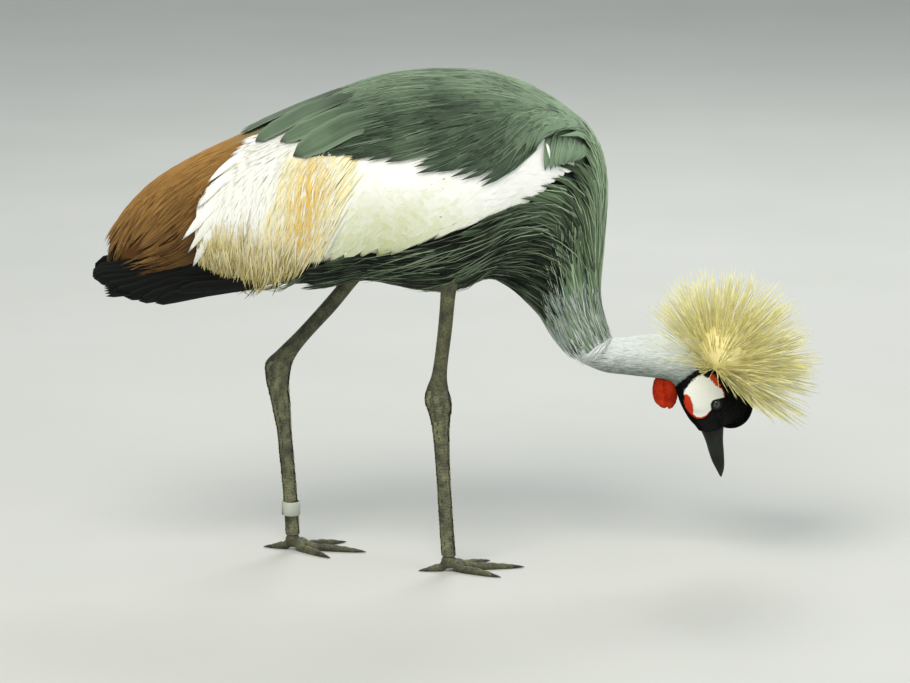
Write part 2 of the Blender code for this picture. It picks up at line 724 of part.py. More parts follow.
def crest_ray(turn, opening):
    """Direction at an opening from the fan's axis; turn is 0 towards the bill."""
    axis = Vector((math.cos(CREST_AXIS), 0, math.sin(CREST_AXIS)))
    fore = Vector((math.sin(CREST_AXIS), 0, -math.cos(CREST_AXIS)))
    across = fore * math.cos(turn) + Vector((0, math.sin(turn), 0))
    return axis * math.cos(opening) + across * math.sin(opening)


def crest(mat):
    """A dome of stiff bristles that spreads from one spot at the back of the crown."""
    draw = random.Random(SEED + 3)
    bristles = []
    for k in range(CREST_COUNT):
        turn = k * math.radians(137.508)
        limit = math.radians(lerp(*CREST_SPREAD, abs(math.sin(turn))))
        opening = math.acos(1 - (1 - math.cos(limit)) * (k + 0.5) / CREST_COUNT)
        opening += math.radians(draw.uniform(-2, 2))
        reach = CREST_LENGTH * draw.uniform(0.90, 1.0)
        tip = Vector(CREST_ORIGIN) + crest_ray(turn, opening) * reach
        base = crest_ray(turn, opening * 0.78)
        root = Vector(CREST_CENTRE) + Vector([base[i] * CREST_CORE[i] for i in range(3)]) * 0.72
        if not meets_head(root, tip):
            bristles.append(spine([root, root.lerp(tip, 0.5), tip], CREST_ROOT))
    made = ellipsoid("crest", CREST_CENTRE, CREST_CORE, 14, 8)
    return finish(fuse(made, bristles), "crest", mat)


def spine(path, radius):
    """A three-sided bristle that tapers to a point."""
    ahead = (path[-1] - path[0]).normalized()
    first = ahead.orthogonal().normalized()
    second = ahead.cross(first)
    rings = []
    for p, share in zip(path[:-1], (1.0, 0.75)):
        rings.append([p + (first * math.cos(a) + second * math.sin(a)) * radius * share
                      for a in (0, 2 * math.pi / 3, 4 * math.pi / 3)])
    return loft("spine", rings, None, path[-1])


def wattle(mat):
    """The red throat pouch: two lobes that hang under the chin."""
    front = ellipsoid("wattle", (0.2375, 0.0, 0.1935), (0.0095, 0.0062, 0.0185), 10, 6)
    rear = ellipsoid("lobe", (0.2262, 0.0, 0.1985), (0.0085, 0.0056, 0.0165), 10, 6)
    fuse(front, [rear])
    carve(front, [ladder_loft("flesh", HEAD, 3.0, 11.0, 16, 20, GAP * 2.5)])
    return finish(front, "wattle", mat)


def shin(key, grow=0.0):
    """The leg above the hock, which is sunk in a socket of the trunk."""
    ladder, hock = LEGS[key], HOCKS[key]
    steps = 9
    rings = [ladder.ring(lerp(0.35, hock, i / steps), 10, grow, -GAP / 2 if i == steps else 0)
             for i in range(steps + 1)]
    if grow:
        middle, half, _, _ = ladder.flat(0.35)
        out = (middle - ladder.flat(0.6)[0]).normalized() * grow
        rings[0] = [p + out for p in rings[0]]
    return loft("shin_" + key, rings)


def tarsus(key, mat):
    ladder, hock = LEGS[key], HOCKS[key]
    last = len(ladder.rungs) - 1
    made = ladder_loft("tarsus", ladder, hock, last, 8, 10)
    return finish(made, "tarsus_" + key, mat)


def toe_path(ankle, heading, length):
    """Points of a toe, and its radius at each: it leaves the ankle and lies on the floor."""
    out = Vector((math.cos(heading), math.sin(heading), 0))
    pads = (0.0, 0.20, 0.38, 0.60, 0.80, 1.0)
    swell = (1.10, 1.12, 0.95, 0.98, 0.84, 0.62)
    path, radii = [], []
    for t, share in zip(pads, swell):
        radius = TOE_RADIUS * share * lerp(1.0, 0.86, t)
        flat = 0.80 if t > 0.3 else 1.0
        sink = max(0.0, 1 - t / 0.34) ** 1.4
        height = lerp(radius * flat, ankle.z * 0.80, sink)
        path.append(Vector((ankle.x, ankle.y, 0)) + out * (length * t) + Vector((0, 0, height)))
        radii.append(radius)
    return path, radii


def ankle_of(key):
    ladder = LEGS[key]
    middle = ladder.flat(len(ladder.rungs) - 1)[0]
    return Vector((middle.x, middle.y, ANKLE_HEIGHT))


def toe_heading(key, angle):
    return math.radians(FOOT_YAW[key] + angle * SIDES[key])


def foot(key, mat):
    """Ankle and four toes, flat under each pad."""
    ankle = ankle_of(key)
    top = LEGS[key].ring(len(LEGS[key].rungs) - 1, 10, 0.0, GAP / 2)
    low = [Vector((ankle.x + (p.x - ankle.x) * 1.12, ankle.y + (p.y - ankle.y) * 1.15, 0.0088))
           for p in top]
    made = loft("foot", [top, low], None, Vector((ankle.x, ankle.y, 0.0052)))
    toes = []
    for _, angle, length, _ in TOES:
        path, radii = toe_path(ankle, toe_heading(key, angle), length)
        toes.append(tube("toe", path, radii, 6, 0.0))
    return finish(fuse(made, toes), "foot_" + key, mat)


def claw(key, toe, mat):
    """A curved claw that meets the flat end of its toe."""
    name, angle, length, reach = toe
    heading = toe_heading(key, angle)
    path, radii = toe_path(ankle_of(key), heading, length)
    out = Vector((math.cos(heading), math.sin(heading), 0))
    start = path[-1] + (path[-1] - path[-2]).normalized() * GAP
    points, sizes = [], []
    for t in (0.0, 0.35, 0.7, 0.95):
        drop = (start.z - 0.0012) * t * t
        points.append(start + out * reach * t - Vector((0, 0, drop)))
        sizes.append(radii[-1] * lerp(0.80, 0.22, t))
    made = tube("claw", points, sizes, 6, 0.0002)
    return finish(made, f"claw_{key}_{name}", mat)


def leg_band(mat):
    """The loose plastic ring on the far leg, with the raised end of its overlap."""
    middle = LEGS["L"].flat(12.0)[0]
    around = 16
    rings = []
    for radius, z in ((BAND_INNER, BAND_BOTTOM), (BAND_INNER + BAND_WALL, BAND_BOTTOM),
                      (BAND_INNER + BAND_WALL, BAND_TOP), (BAND_INNER, BAND_TOP)):
        rings.append([Vector((middle.x + radius * math.cos(2 * math.pi * k / around),
                              middle.y + radius * math.sin(2 * math.pi * k / around), z))
                      for k in range(around)])
    points = [p for ring in rings for p in ring]
    faces = []
    for r in range(4):
        for k in range(around):
            a, b = r * around + k, r * around + (k + 1) % around
            c, d = ((r + 1) % 4) * around + (k + 1) % around, ((r + 1) % 4) * around + k
            faces += [(a, b, c), (a, c, d)]
    made = mesh_object("band", points, faces)
    tab = []
    for radius in (BAND_INNER + 0.0006, BAND_INNER + BAND_WALL + 0.0016):
        for turn in (158, 200):
            for z in (BAND_TOP - 0.0105, BAND_TOP + 0.0018):
                tab.append(Vector((middle.x + radius * math.cos(math.radians(turn)),
                                   middle.y + radius * math.sin(math.radians(turn)), z)))
    sides = [(0, 1, 3, 2), (4, 6, 7, 5), (0, 4, 5, 1), (2, 3, 7, 6), (0, 2, 6, 4), (1, 5, 7, 3)]
    fuse(made, [mesh_object("tab", tab, sides)])
    return finish(made, "leg_band", mat)


def tail(mat):
    """The root of the tail and its fan of broad black feathers, which lies under the wings."""
    face = TRUNK.ring(0.0, 12)
    middle = sum(face, Vector()) / 12
    inward = (TRUNK.flat(0.2)[0] - middle).normalized()
    rings = [[p - inward * GAP * 1.5 for p in face]]
    for (x, z, _), share in zip(TAIL_LINE[1:3], (0.60, 0.22)):
        rings.append([Vector((x, 0, z + 0.006)) + (p - middle) * share for p in face])
    made = loft("tail", rings)
    feathers = []
    for i in range(TAIL_COUNT):
        fan = lerp(-1, 1, i / (TAIL_COUNT - 1))
        path = []
        for step in range(6):
            x, z, spread = between(TAIL_LINE, 0.8 + 3.2 * step / 5)
            x = lerp(TAIL_LINE[0][0], x, 1 - 0.12 * fan * fan)
            path.append(Vector((x, spread * fan, z - 0.003 * abs(fan) - 0.0015 * (i % 2))))
        up = Vector((-0.30, 0.35 * fan, 0.95)).normalized()
        feathers.append(vane(path, [up] * 6, 0.022, VANE_THICK, (0.5, 0.8, 1.0, 1.0, 0.85)))
    return finish(fuse(made, feathers), "tail", mat)


def main():
    for obj in list(bpy.data.objects):
        bpy.data.objects.remove(obj)
    slate = material("slate_feathers", (0.10, 0.13, 0.12), 0.75)
    pale = material("pale_neck_feathers", (0.55, 0.62, 0.62), 0.75)
    white = material("wing_feathers", (0.80, 0.78, 0.66), 0.7)
    black = material("black_feathers", (0.015, 0.018, 0.016), 0.6)
    straw = material("straw_bristles", (0.78, 0.62, 0.28), 0.6)
    face = material("face_skin", (0.70, 0.70, 0.62), 0.6)
    red = material("wattle_skin", (0.60, 0.03, 0.01), 0.45)
    horn = material("bill_horn", (0.03, 0.035, 0.03), 0.35)
    iris = material("eye_surface", (0.35, 0.42, 0.42), 0.1)
    scale = material("leg_skin", (0.07, 0.065, 0.045), 0.6)
    band = material("band_plastic", (0.60, 0.62, 0.58), 0.4)

    torso(slate)
    neck_lower(slate)
    neck_upper(pale)
    head(face)
    crest(straw)
    wattle(red)
    upper = bill_half(True)
    carve(upper, [nostril(side) for side in SIDES.values()])
    finish(upper, "bill_upper", horn)
    finish(bill_half(False), "bill_lower", horn)
    for key, side in SIDES.items():
        finish(eyeball(side), "eye_" + key, iris)
        wing("wing_" + key, side, white)
        finish(shin(key), "shin_" + key, scale)
        tarsus(key, scale)
        foot(key, scale)
        for toe in TOES:
            claw(key, toe, horn)
    leg_band(band)
    tail(black)


main()
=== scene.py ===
# %% [markdown]
# # A grey crowned crane, life size, with its head down to feed
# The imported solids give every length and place. Each piece below is a finer, dressed
# version of one or more of them, in the same frame: metres, floor at z = 0, bill towards +X.

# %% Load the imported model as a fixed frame
import math
import bmesh
import bpy
import numpy as np
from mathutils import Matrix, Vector


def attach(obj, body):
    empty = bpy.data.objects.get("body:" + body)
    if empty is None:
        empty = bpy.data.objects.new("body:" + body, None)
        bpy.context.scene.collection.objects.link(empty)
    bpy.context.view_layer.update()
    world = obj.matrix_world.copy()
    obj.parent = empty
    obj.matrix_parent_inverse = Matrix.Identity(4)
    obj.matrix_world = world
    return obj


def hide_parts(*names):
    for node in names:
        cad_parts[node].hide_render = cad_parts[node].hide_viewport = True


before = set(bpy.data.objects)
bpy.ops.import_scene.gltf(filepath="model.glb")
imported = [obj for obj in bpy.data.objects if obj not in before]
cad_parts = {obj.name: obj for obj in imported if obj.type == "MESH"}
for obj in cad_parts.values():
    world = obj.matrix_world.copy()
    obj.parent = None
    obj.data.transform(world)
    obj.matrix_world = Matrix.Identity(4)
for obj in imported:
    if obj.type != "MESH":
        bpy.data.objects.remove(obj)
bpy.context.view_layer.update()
rng = np.random.default_rng(11)

# %% [markdown]
# ## The bird's own coordinates
# A crane's body, neck and head are one long soft shape. It can be drawn as rungs of a ladder
# laid over the side view: each rung joins the upper outline to the lower one and has a half
# width. A place on the bird is then a station along the ladder and a number of degrees round
# the rung, with 0 on top, which is all that a feather needs to know about where it grows.

# %% Rungs of the side view: top x, top z, bottom x, bottom z, half width
TENTHS = 10000      # tenths of a millimetre in a metre


def metres(text, unit=1000):
    """Rows of numbers with commas between, given in millimetres or tenths of them."""
    return np.array([row.split() for row in text.split(",")], float) / unit


def with_fullness(rows, first=()):
    """Adds how full the lower half of each section is, where 2 is a plain ellipse."""
    return np.column_stack([rows, np.append(first, np.full(len(rows) - len(first), 2.0))])


BODY = metres("""-400 367 -393 341 10, -378 401 -367 330 30, -345 435 -328 333 44,
    -298 464 -288 338 56, -249 487 -249 330 68, -198 511 -203 320 80, -147 535 -153 322 89,
    -102 552 -107 331 95, -57 561 -62 322 99, -11 563 -17 315 99, 34 560 9 322 95, 70 549 22 330 88,
    104 531 31 333 78, 136 505 40 330 67, 155 475 49 326 58, 162 442 58 320 51, 162 411 67 312 45,
    160 382 76 304 40, 158 353 84 295 36, 156 325 92 283 33, 157 298 101 269 31, 162 278 112 253 29,
    168 261 126 238 26""")
HEAD = metres("""1760 2575 1420 2275 222, 1890 2575 1630 2190 205, 2040 2605 1850 2160 195,
    2200 2615 2070 2135 195, 2360 2605 2260 2115 195, 2540 2575 2380 2085 200, 2740 2530 2440 2020 207,
    2930 2440 2475 1930 212, 3040 2290 2510 1830 207, 3070 2100 2555 1740 192, 3060 1900 2610 1650 168,
    3030 1710 2680 1570 138, 2995 1555 2728 1505 108""", TENTHS)
RUMP = metres("-292 440 -284 352 22, -270 466 -264 338 48")
OUTLINE = with_fullness(np.vstack([BODY, HEAD]), (2.0, 2.2, 2.4, 2.6, 2.8, 2.8, 2.6, 2.4, 2.2))
LAST, HEM = len(OUTLINE) - 1, len(BODY) - 1


def rows_at(table, station):
    """Smooth rows of a table at fractional row numbers."""
    s = np.clip(np.asarray(station, float), 0, len(table) - 1)
    i = np.clip(s.astype(int), 0, len(table) - 2)
    t = (s - i)[:, None]
    a, b = table[np.maximum(i - 1, 0)], table[i]
    c, d = table[i + 1], table[np.minimum(i + 2, len(table) - 1)]
    return 0.5 * (2 * b + (c - a) * t + (2 * a - 5 * b + 4 * c - d) * t ** 2
                  + (3 * b - a - 3 * c + d) * t ** 3)


def section_point(rows, degrees):
    """Points round sections: the middle of each and the point at so many degrees."""
    tx, tz, bx, bz, width, full = rows.T[:6]
    turn = np.radians(degrees)
    c, s = np.cos(turn), np.sin(turn)
    wide = np.sign(s) * np.abs(s) ** np.where(c < 0, 2 / full, 1)
    middle = np.stack([(tx + bx) / 2, 0 * tx, (tz + bz) / 2], 1)
    return middle, middle + np.stack([(tx - bx) / 2 * c, width * wide, (tz - bz) / 2 * c], 1)


# %% [markdown]
# The forehead cushion and the bare cheeks stand out from the ladder's plain tube. Each is an
# ellipsoid, and a point of the tube is pushed out to it along its own section, which keeps the
# skin one sheet with no seam and no cut.

# %% Forehead and cheeks
FOREHEAD = ((0.3055, 0.0, 0.1805), (0.0250, 0.0172, 0.0265))
CHEEKS = [((0.2735, 0.0128 * side, 0.1965), (0.0205, 0.0095, 0.0225)) for side in (-1, 1)]
SLOPE = 0.2126      # how far a metre of width moves a point in the side view, seen from twelve degrees up


def pushed_to(middle, p, centre, size):
    """Moves points out to an ellipsoid where it lies further out, with a soft crease."""
    size = np.array(size)
    ray, start = (p - middle) / size, (middle - np.array(centre)) / size
    a, b, c = (ray ** 2).sum(1), (ray * start).sum(1), (start ** 2).sum(1) - 1
    inside = np.maximum(b * b - a * c, 0)
    reach = np.where(inside > 0, (-b + np.sqrt(inside)) / a, 0)
    reach = (1 + reach + np.sqrt((reach - 1) ** 2 + 0.05 ** 2)) / 2
    return middle + (p - middle) * np.where(reach > 1.002, reach, 1)[:, None]


def bird_point(station, degrees):
    station, degrees = np.broadcast_arrays(np.asarray(station, float), np.asarray(degrees, float))
    middle, p = section_point(rows_at(OUTLINE, station), degrees)
    face = station > HEM + 5
    if face.any():
        for centre, size in (FOREHEAD, *CHEEKS):
            p[face] = pushed_to(middle[face], p[face], centre, size)
    return p


def unit(v):
    return v / np.maximum(np.linalg.norm(v, axis=-1, keepdims=True), 1e-12)


def steps_at(station, degrees):
    """How far one station and one degree carry a point on the surface."""
    return ((bird_point(station + 0.03, degrees) - bird_point(station - 0.03, degrees)) / 0.06,
            (bird_point(station, degrees + 1) - bird_point(station, degrees - 1)) / 2)


def side_view(p):
    """Where a point shows from the side at which the crane is usually seen, a little from above."""
    return np.stack([p[:, 0], p[:, 2] - SLOPE * np.abs(p[:, 1])], 1)


print("stations:", LAST, "hem of the long neck feathers at", HEM)

# %% [markdown]
# ## Helpers for meshes, nodes and colours
# Every piece rides on the model's one body.
# Colours are written as sRGB hex values, as a paint chart gives them, and turned linear once.

# %% Meshes
SIDES = ((-1, "R"), (1, "L"))


def linked(name, data):
    obj = bpy.data.objects.new(name, data)
    bpy.context.scene.collection.objects.link(obj)
    return obj


def mesh_piece(name, points, faces, smooth=True):
    mesh = bpy.data.meshes.new(name)
    mesh.from_pydata([tuple(p) for p in points], [], [tuple(int(i) for i in f) for f in faces])
    work = bmesh.new()
    work.from_mesh(mesh)
    bmesh.ops.recalc_face_normals(work, faces=work.faces)
    work.to_mesh(mesh)
    work.free()
    if smooth:
        mesh.shade_smooth()
    return linked(name, mesh)


def grid(first, second):
    """All pairs of two rows of values; the second runs fastest."""
    return (g.ravel() for g in np.meshgrid(first, second, indexing="ij"))


def quads(rows, across, closed=False):
    """Faces of a grid of points; a closed one joins its last column to its first."""
    row, k = np.arange(rows - 1)[:, None] * across, np.arange(across if closed else across - 1)
    after = (k + 1) % across
    return np.stack([row + k, row + after, row + across + after, row + across + k], -1).reshape(-1, 4)


def tube_faces(rings, width, caps=True):
    faces = quads(rings, width, True).tolist()
    return faces + [range(width), range((rings - 1) * width, rings * width)] if caps else faces


def spike_faces(rings, width):
    """A tube that runs out in one more point, with its root closed."""
    last = (rings - 1) * width
    fan = [(last + k, last + (k + 1) % width, rings * width) for k in range(width)]
    return tube_faces(rings, width, False) + fan + [range(width)]


def applied(obj):
    """Turns what the modifiers make into a plain mesh."""
    bpy.context.view_layer.update()
    graph = bpy.context.evaluated_depsgraph_get()
    made = bpy.data.meshes.new_from_object(obj.evaluated_get(graph))
    obj.modifiers.clear()
    obj.data = made
    made.name = obj.name
    return obj


def place(obj, material=None, nodes=()):
    if material:
        obj.data.materials.clear()
        obj.data.materials.append(material)
    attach(obj, "root")
    if nodes:
        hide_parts(*nodes)
    obj.data.calc_loop_triangles()
    print(obj.name, len(obj.data.loop_triangles), "triangles")
    return obj


# %% Nodes and colours
def colour(hex_value):
    """Linear colour of an sRGB hex value."""
    parts = [int(hex_value[i:i + 2], 16) / 255 for i in (1, 3, 5)]
    return [*(v / 12.92 if v <= 0.04045 else ((v + 0.055) / 1.055) ** 2.4 for v in parts), 1.0]


def wire(tree, node, inputs):
    """Values or links for a node's live inputs, by place or by name."""
    live = [s for s in node.inputs if s.enabled]
    for key, value in inputs.items() if isinstance(inputs, dict) else enumerate(inputs):
        socket = live[key] if isinstance(key, int) else next(s for s in live if s.name == key)
        if isinstance(value, bpy.types.Node):
            value = next(s for s in value.outputs if s.enabled)
        if isinstance(value, bpy.types.NodeSocket):
            tree.links.new(value, socket)
        elif value is not None:
            socket.default_value = value


def add(tree, kind, inputs=(), **settings):
    """Adds a node. A second word in kind is its operation, or else its type of data."""
    kind, *way = kind.split()
    shading = not kind.startswith(("Geometry", "Function", "NodeGroup"))
    node = tree.nodes.new("ShaderNode" + kind if shading else kind)
    if way:
        settings["operation" if "Math" in kind else "data_type"] = way[0]
    for key, value in settings.items():
        setattr(node, key, value)
    wire(tree, node, inputs)
    return node


def new_material(name):
    """A node material, its tree, its shader and the place on the piece that patterns read."""
    made = bpy.data.materials.new(name)
    made.use_nodes = True
    tree = made.node_tree
    return made, tree, tree.nodes["Principled BSDF"], add(tree, "TexCoord").outputs["Object"]


# %% [markdown]
# ## Feathers that lie on the bird
# A feather bends with the body under it and overlaps its neighbours like a roof tile. It could
# be modelled by hand or grown as hair, but hair is lost in an export, and thousands of copies
# need a rule. Here a point carries each feather's root, middle and tip in the bird's own
# coordinates. Geometry Nodes puts one simple vane on every point and bends it over the surface,
# whose places it looks up by UV. The result is solid mesh, thin and closed.

# %% The surface that feathers follow
SURFACE_TURN = 215.0        # degrees each way: past half a turn, so that feathers may cross the midline


def chart_place(station, degrees):
    """Place on the surface's UV map, from 0 to 1 both ways."""
    return (degrees + SURFACE_TURN) / (2 * SURFACE_TURN), np.asarray(station) / LAST


def sheet(name, points, u, v, across, turned=False):
    """A surface with its own UV map, from rows of points; turned swaps front and back."""
    faces = quads(len(points) // across, across)
    faces = faces if turned else faces[:, [0, 3, 2, 1]]
    mesh = bpy.data.meshes.new(name)
    mesh.from_pydata(points.tolist(), [], faces.tolist())
    mesh.uv_layers.new(name="chart").data.foreach_set("uv", np.stack([u, v], 1)[faces.ravel()].ravel())
    return linked(name, mesh)


def feather_surface():
    rows = np.append(np.arange(0, HEM, 1 / 8), np.arange(HEM, LAST + 0.01, 1 / 16))
    turns = np.arange(-SURFACE_TURN, SURFACE_TURN + 0.1, 5.0)
    s, a = grid(rows, turns)
    return sheet("feather_surface", bird_point(s, a), *chart_place(s, a), len(turns))


surface = feather_surface()
print("surface faces:", len(surface.data.polygons))

# %% [markdown]
# One vane is a closed strip: a flat underside, a raised shaft and edges that taper to a tip.
# Its own x runs across (-1 to 1), y from root to tip (0 to 1) and z is the rise of the shaft.

# %% Vane forms
def vane_form(name, shares, across=(-1, 0, 1), rises=(0, 1, 0)):
    """A vane from its width at some heights, and the places and rises across it."""
    points = [(x * share, t, z * (0.5 + 0.5 * share)) for t, share in shares for x, z in zip(across, rises)]
    form = mesh_piece(name, points + [(0, 1, 0.2)], spike_faces(len(shares), len(across)))
    form.data.set_sharp_from_angle(angle=math.radians(60))
    edge = form.data.attributes.new("edge", "FLOAT", "POINT")
    edge.data.foreach_set("value", [*across] * len(shares) + [0])
    return form


ARCH = ((-1, -.5, 0, .5, 1), (0, .8, 1, .8, 0))
LANCE = vane_form("lance_form", [(0, .35), (.15, .75), (.4, 1), (.66, .85), (.86, .45)], *ARCH)
STRAND = vane_form("strand_form", [(0, .5), (.25, 1), (.55, .9), (.82, .5)])
BROAD = vane_form("broad_form", [(0, .45), (.2, .8), (.5, 1), (.78, .95), (.92, .62)], *ARCH)
TUFT = vane_form("tuft_form", [(0, .7), (.55, .8)])


# %% The node tree that lays them
def open_tree(name, inputs, stored):
    """A node tree with named inputs, its way in, and the values stored on each point."""
    tree = bpy.data.node_groups.new(name, "GeometryNodeTree")
    for way, sockets in (("INPUT", {"Geometry": "Geometry", **inputs}), ("OUTPUT", {"Geometry": "Geometry"})):
        for key, kind in sockets.items():
            tree.interface.new_socket(key, in_out=way, socket_type="NodeSocket" + kind)
    found = {key: add(tree, "GeometryNodeInputNamedAttribute " + kind, {"Name": key}).outputs[0]
             for key, kind in stored.items()}
    return tree, add(tree, "NodeGroupInput").outputs, found


def close_tree(tree, laid, marks, patch, shift, given, spent):
    """Stores what the material reads, moves the points, drops spent values and ends the tree."""
    for name, kind, domain, value in (("vane", "FLOAT_VECTOR", "POINT", marks),
                                      ("OFBake", "FLOAT2", "CORNER", patch)):
        laid = add(tree, "GeometryNodeStoreNamedAttribute " + kind,
                   {"Geometry": laid, "Name": name, "Value": value}, domain=domain)
    laid = add(tree, "GeometryNodeSetPosition", {"Geometry": laid, **shift})
    for name in spent:
        laid = add(tree, "GeometryNodeRemoveAttribute", {"Geometry": laid, "Name": name})
    laid = add(tree, "GeometryNodeSetMaterial", {"Geometry": laid, "Material": given["Material"]})
    add(tree, "NodeGroupOutput", [laid])
    return tree


def lay_tree():
    carried = dict.fromkeys(("root", "bend", "tip", "size", "place"), "FLOAT_VECTOR")
    tree, given, stored = open_tree(
        "lay_feathers", {"Form": "Object", "Surface": "Object", "Patch": "Float", "Material": "Material"},
        {**carried, "edge": "FLOAT", "chart": "FLOAT_VECTOR"})
    form, ground = (add(tree, "GeometryNodeObjectInfo", {"Object": given[key]}).outputs["Geometry"]
                    for key in ("Form", "Surface"))
    spots = add(tree, "GeometryNodeMeshToPoints", {"Mesh": given["Geometry"]})
    laid = add(tree, "GeometryNodeInstanceOnPoints", {"Points": spots, "Instance": form})
    laid = add(tree, "GeometryNodeRealizeInstances", {"Geometry": laid})
    position = add(tree, "GeometryNodeInputPosition")
    own = add(tree, "SeparateXYZ", [position]).outputs
    along = own["Y"]

    def chart(shift):
        """Bezier of root, bend and tip at this height of the vane; z carries the lift."""
        t = add(tree, "Math ADD", [along, shift])
        rest = add(tree, "Math SUBTRACT", [1.0, t])
        twice = add(tree, "Math MULTIPLY", [add(tree, "Math MULTIPLY", [t, rest]), 2.0])
        ends = [add(tree, "Math MULTIPLY", [v, v]) for v in (rest, t)]
        parts = [add(tree, "VectorMath SCALE", {0: stored[key], "Scale": share})
                 for key, share in (("root", ends[0]), ("bend", twice), ("tip", ends[1]))]
        return add(tree, "VectorMath ADD", [add(tree, "VectorMath ADD", parts[:2]), parts[2]])

    def on_ground(value, spot):
        found = {"Mesh": ground, "Value": value, "UV Map": stored["chart"], "Sample UV": spot}
        return add(tree, "GeometryNodeSampleUVSurface FLOAT_VECTOR", found).outputs["Value"]

    here = chart(0.0)
    up = on_ground(add(tree, "GeometryNodeInputNormal"), here)
    way = add(tree, "VectorMath SUBTRACT", [on_ground(position, chart(shift)) for shift in (0.03, -0.03)])
    ahead = add(tree, "VectorMath NORMALIZE", [way])
    across = add(tree, "VectorMath NORMALIZE", [add(tree, "VectorMath CROSS_PRODUCT", [ahead, up])])
    size = add(tree, "SeparateXYZ", [stored["size"]]).outputs
    rise = add(tree, "Math MULTIPLY", [own["Z"], size["Y"]])
    lift = add(tree, "Math ADD", [add(tree, "SeparateXYZ", [here]).outputs["Z"], rise])
    tilt = add(tree, "Math MULTIPLY", [add(tree, "Math MULTIPLY", [own["X"], size["Z"]]), along])
    reach = add(tree, "Math MULTIPLY", [own["X"], size["X"]])
    sideways = add(tree, "VectorMath SCALE", {0: across, "Scale": reach})
    upwards = add(tree, "VectorMath SCALE", {0: up, "Scale": add(tree, "Math ADD", [lift, tilt])})
    goal = add(tree, "VectorMath ADD", [on_ground(position, here), sideways])
    goal = add(tree, "VectorMath ADD", [goal, upwards])

    tint = add(tree, "SeparateXYZ", [stored["place"]]).outputs["Z"]
    marks = add(tree, "CombineXYZ", [stored["edge"], along, tint])
    spread = add(tree, "CombineXYZ", [add(tree, "Math MULTIPLY", [stored["edge"], 0.5]),
                                      add(tree, "Math SUBTRACT", [along, 0.5]), 0.0])
    spread = add(tree, "VectorMath SCALE", {0: spread, "Scale": given["Patch"]})
    patch = add(tree, "VectorMath ADD", [stored["place"], spread])
    return close_tree(tree, laid, marks, patch, {"Position": goal}, given, (*carried, "edge"))


LAY = lay_tree()


def grown(name, mesh, rows, tree, inputs):
    """Stores a vector for each point, lets a node tree work on them and keeps the result as plain mesh."""
    for key, values in rows.items():
        mesh.attributes.new(key, "FLOAT_VECTOR", "POINT").data.foreach_set(
            "vector", np.asarray(values, np.float32).ravel())
    obj = linked(name, mesh)
    step = obj.modifiers.new("grow", "NODES")
    step.node_group = tree
    for item in tree.interface.items_tree:      # an input is set by the identifier of its socket
        if item.item_type == "SOCKET" and item.in_out == "INPUT" and item.name in inputs:
            step[item.identifier] = inputs[item.name]
    return applied(obj)


def lay(name, form, material, root, bend, tip, size, spot, ground=None, nodes=()):
    """A piece of feathers from their charts: root, bend and tip are (u, v, lift) rows."""
    mesh = bpy.data.meshes.new(name)
    mesh.vertices.add(len(root))
    obj = grown(name, mesh, {"root": root, "bend": bend, "tip": tip, "size": size, "place": spot}, LAY,
                {"Form": form, "Surface": ground or surface, "Patch": 0.003, "Material": material})
    if ground:
        bpy.data.objects.remove(ground)
    return place(obj, None, nodes)


# %% [markdown]
# ## Combing
# Feathers of one tract share a lie, as combed hair does. It is given as a few directions in the
# side view. Each feather is set by its tip, so the tract's edge is where the real one is, and is
# followed back to its root against the lie.

# %% Lie
def lie_of(text):
    """Direction in the side view at any place, from rows of x, z and a direction in hundredths."""
    table = metres(text, 1)
    spots, ways = table[:, :2] / 1000, table[:, 2:] / 100

    def direction(p):
        away = ((side_view(p)[:, None] - spots) ** 2).sum(2) + 1e-6
        share = away ** -1.5
        return (share[:, :, None] * ways).sum(1) / share.sum(1)[:, None]
    return direction


def walk(station, degrees, direction, length, steps=8):
    """Follows the surface for a length along a side-view direction: the places half way and at the end."""
    s, a = station, degrees
    for i in range(steps):
        flat = direction(bird_point(s, a))
        goal = unit(np.stack([flat[:, 0], 0 * s, flat[:, 1]], 1))
        along, around = steps_at(s, a)
        aa, ab, bb = (along ** 2).sum(1), (along * around).sum(1), (around ** 2).sum(1)
        ga, gb = (goal * along).sum(1), (goal * around).sum(1)
        det = np.maximum(aa * bb - ab * ab, 1e-16)
        ds, da = (ga * bb - gb * ab) / det, (gb * aa - ga * ab) / det
        real = np.linalg.norm(along * ds[:, None] + around * da[:, None], axis=1)
        pace = length / steps / np.maximum(real, 0.25)
        s = np.clip(s + ds * pace, 0.02, LAST)
        a = np.clip(a + da * pace, -SURFACE_TURN + 2, SURFACE_TURN - 2)
        if i == steps // 2 - 1:
            half = (s, a)
    return half, (s, a)


PLACES = [*grid(np.arange(0, HEM + 1, 0.05), np.arange(1, 178, 1.0))]
SEEN = side_view(bird_point(*PLACES))


def place_of(x, z, side):
    """Station and angle of the place that the side view shows at x, z."""
    best = np.argmin((SEEN[:, 0] - x) ** 2 + (SEEN[:, 1] - z) ** 2)
    return PLACES[0][best], PLACES[1][best] * side


# %% Tips
def rows_of_tips(first, last, low, high, along, across, loose=0.35):
    """Staggered rows of places between two stations and two angles, spaced in metres."""
    stations, degrees, s = [], [], first
    while s < last:
        pace = along / np.linalg.norm(steps_at(np.array([s]), np.array([(low + high) / 2]))[0])
        widest = np.linalg.norm(steps_at(np.array([s, s, s]), np.array([0.0, 90, 180]))[1], axis=1).max()
        count = max(2, int((high - low) * widest / across))
        turns = low + (np.arange(count) + rng.random()) / count * (high - low)
        degrees.append(turns + rng.uniform(-loose, loose, count) * (high - low) / count)
        stations.append(s + rng.uniform(-loose, loose, count) * pace)
        s += pace
    return np.concatenate(stations), np.concatenate(degrees)


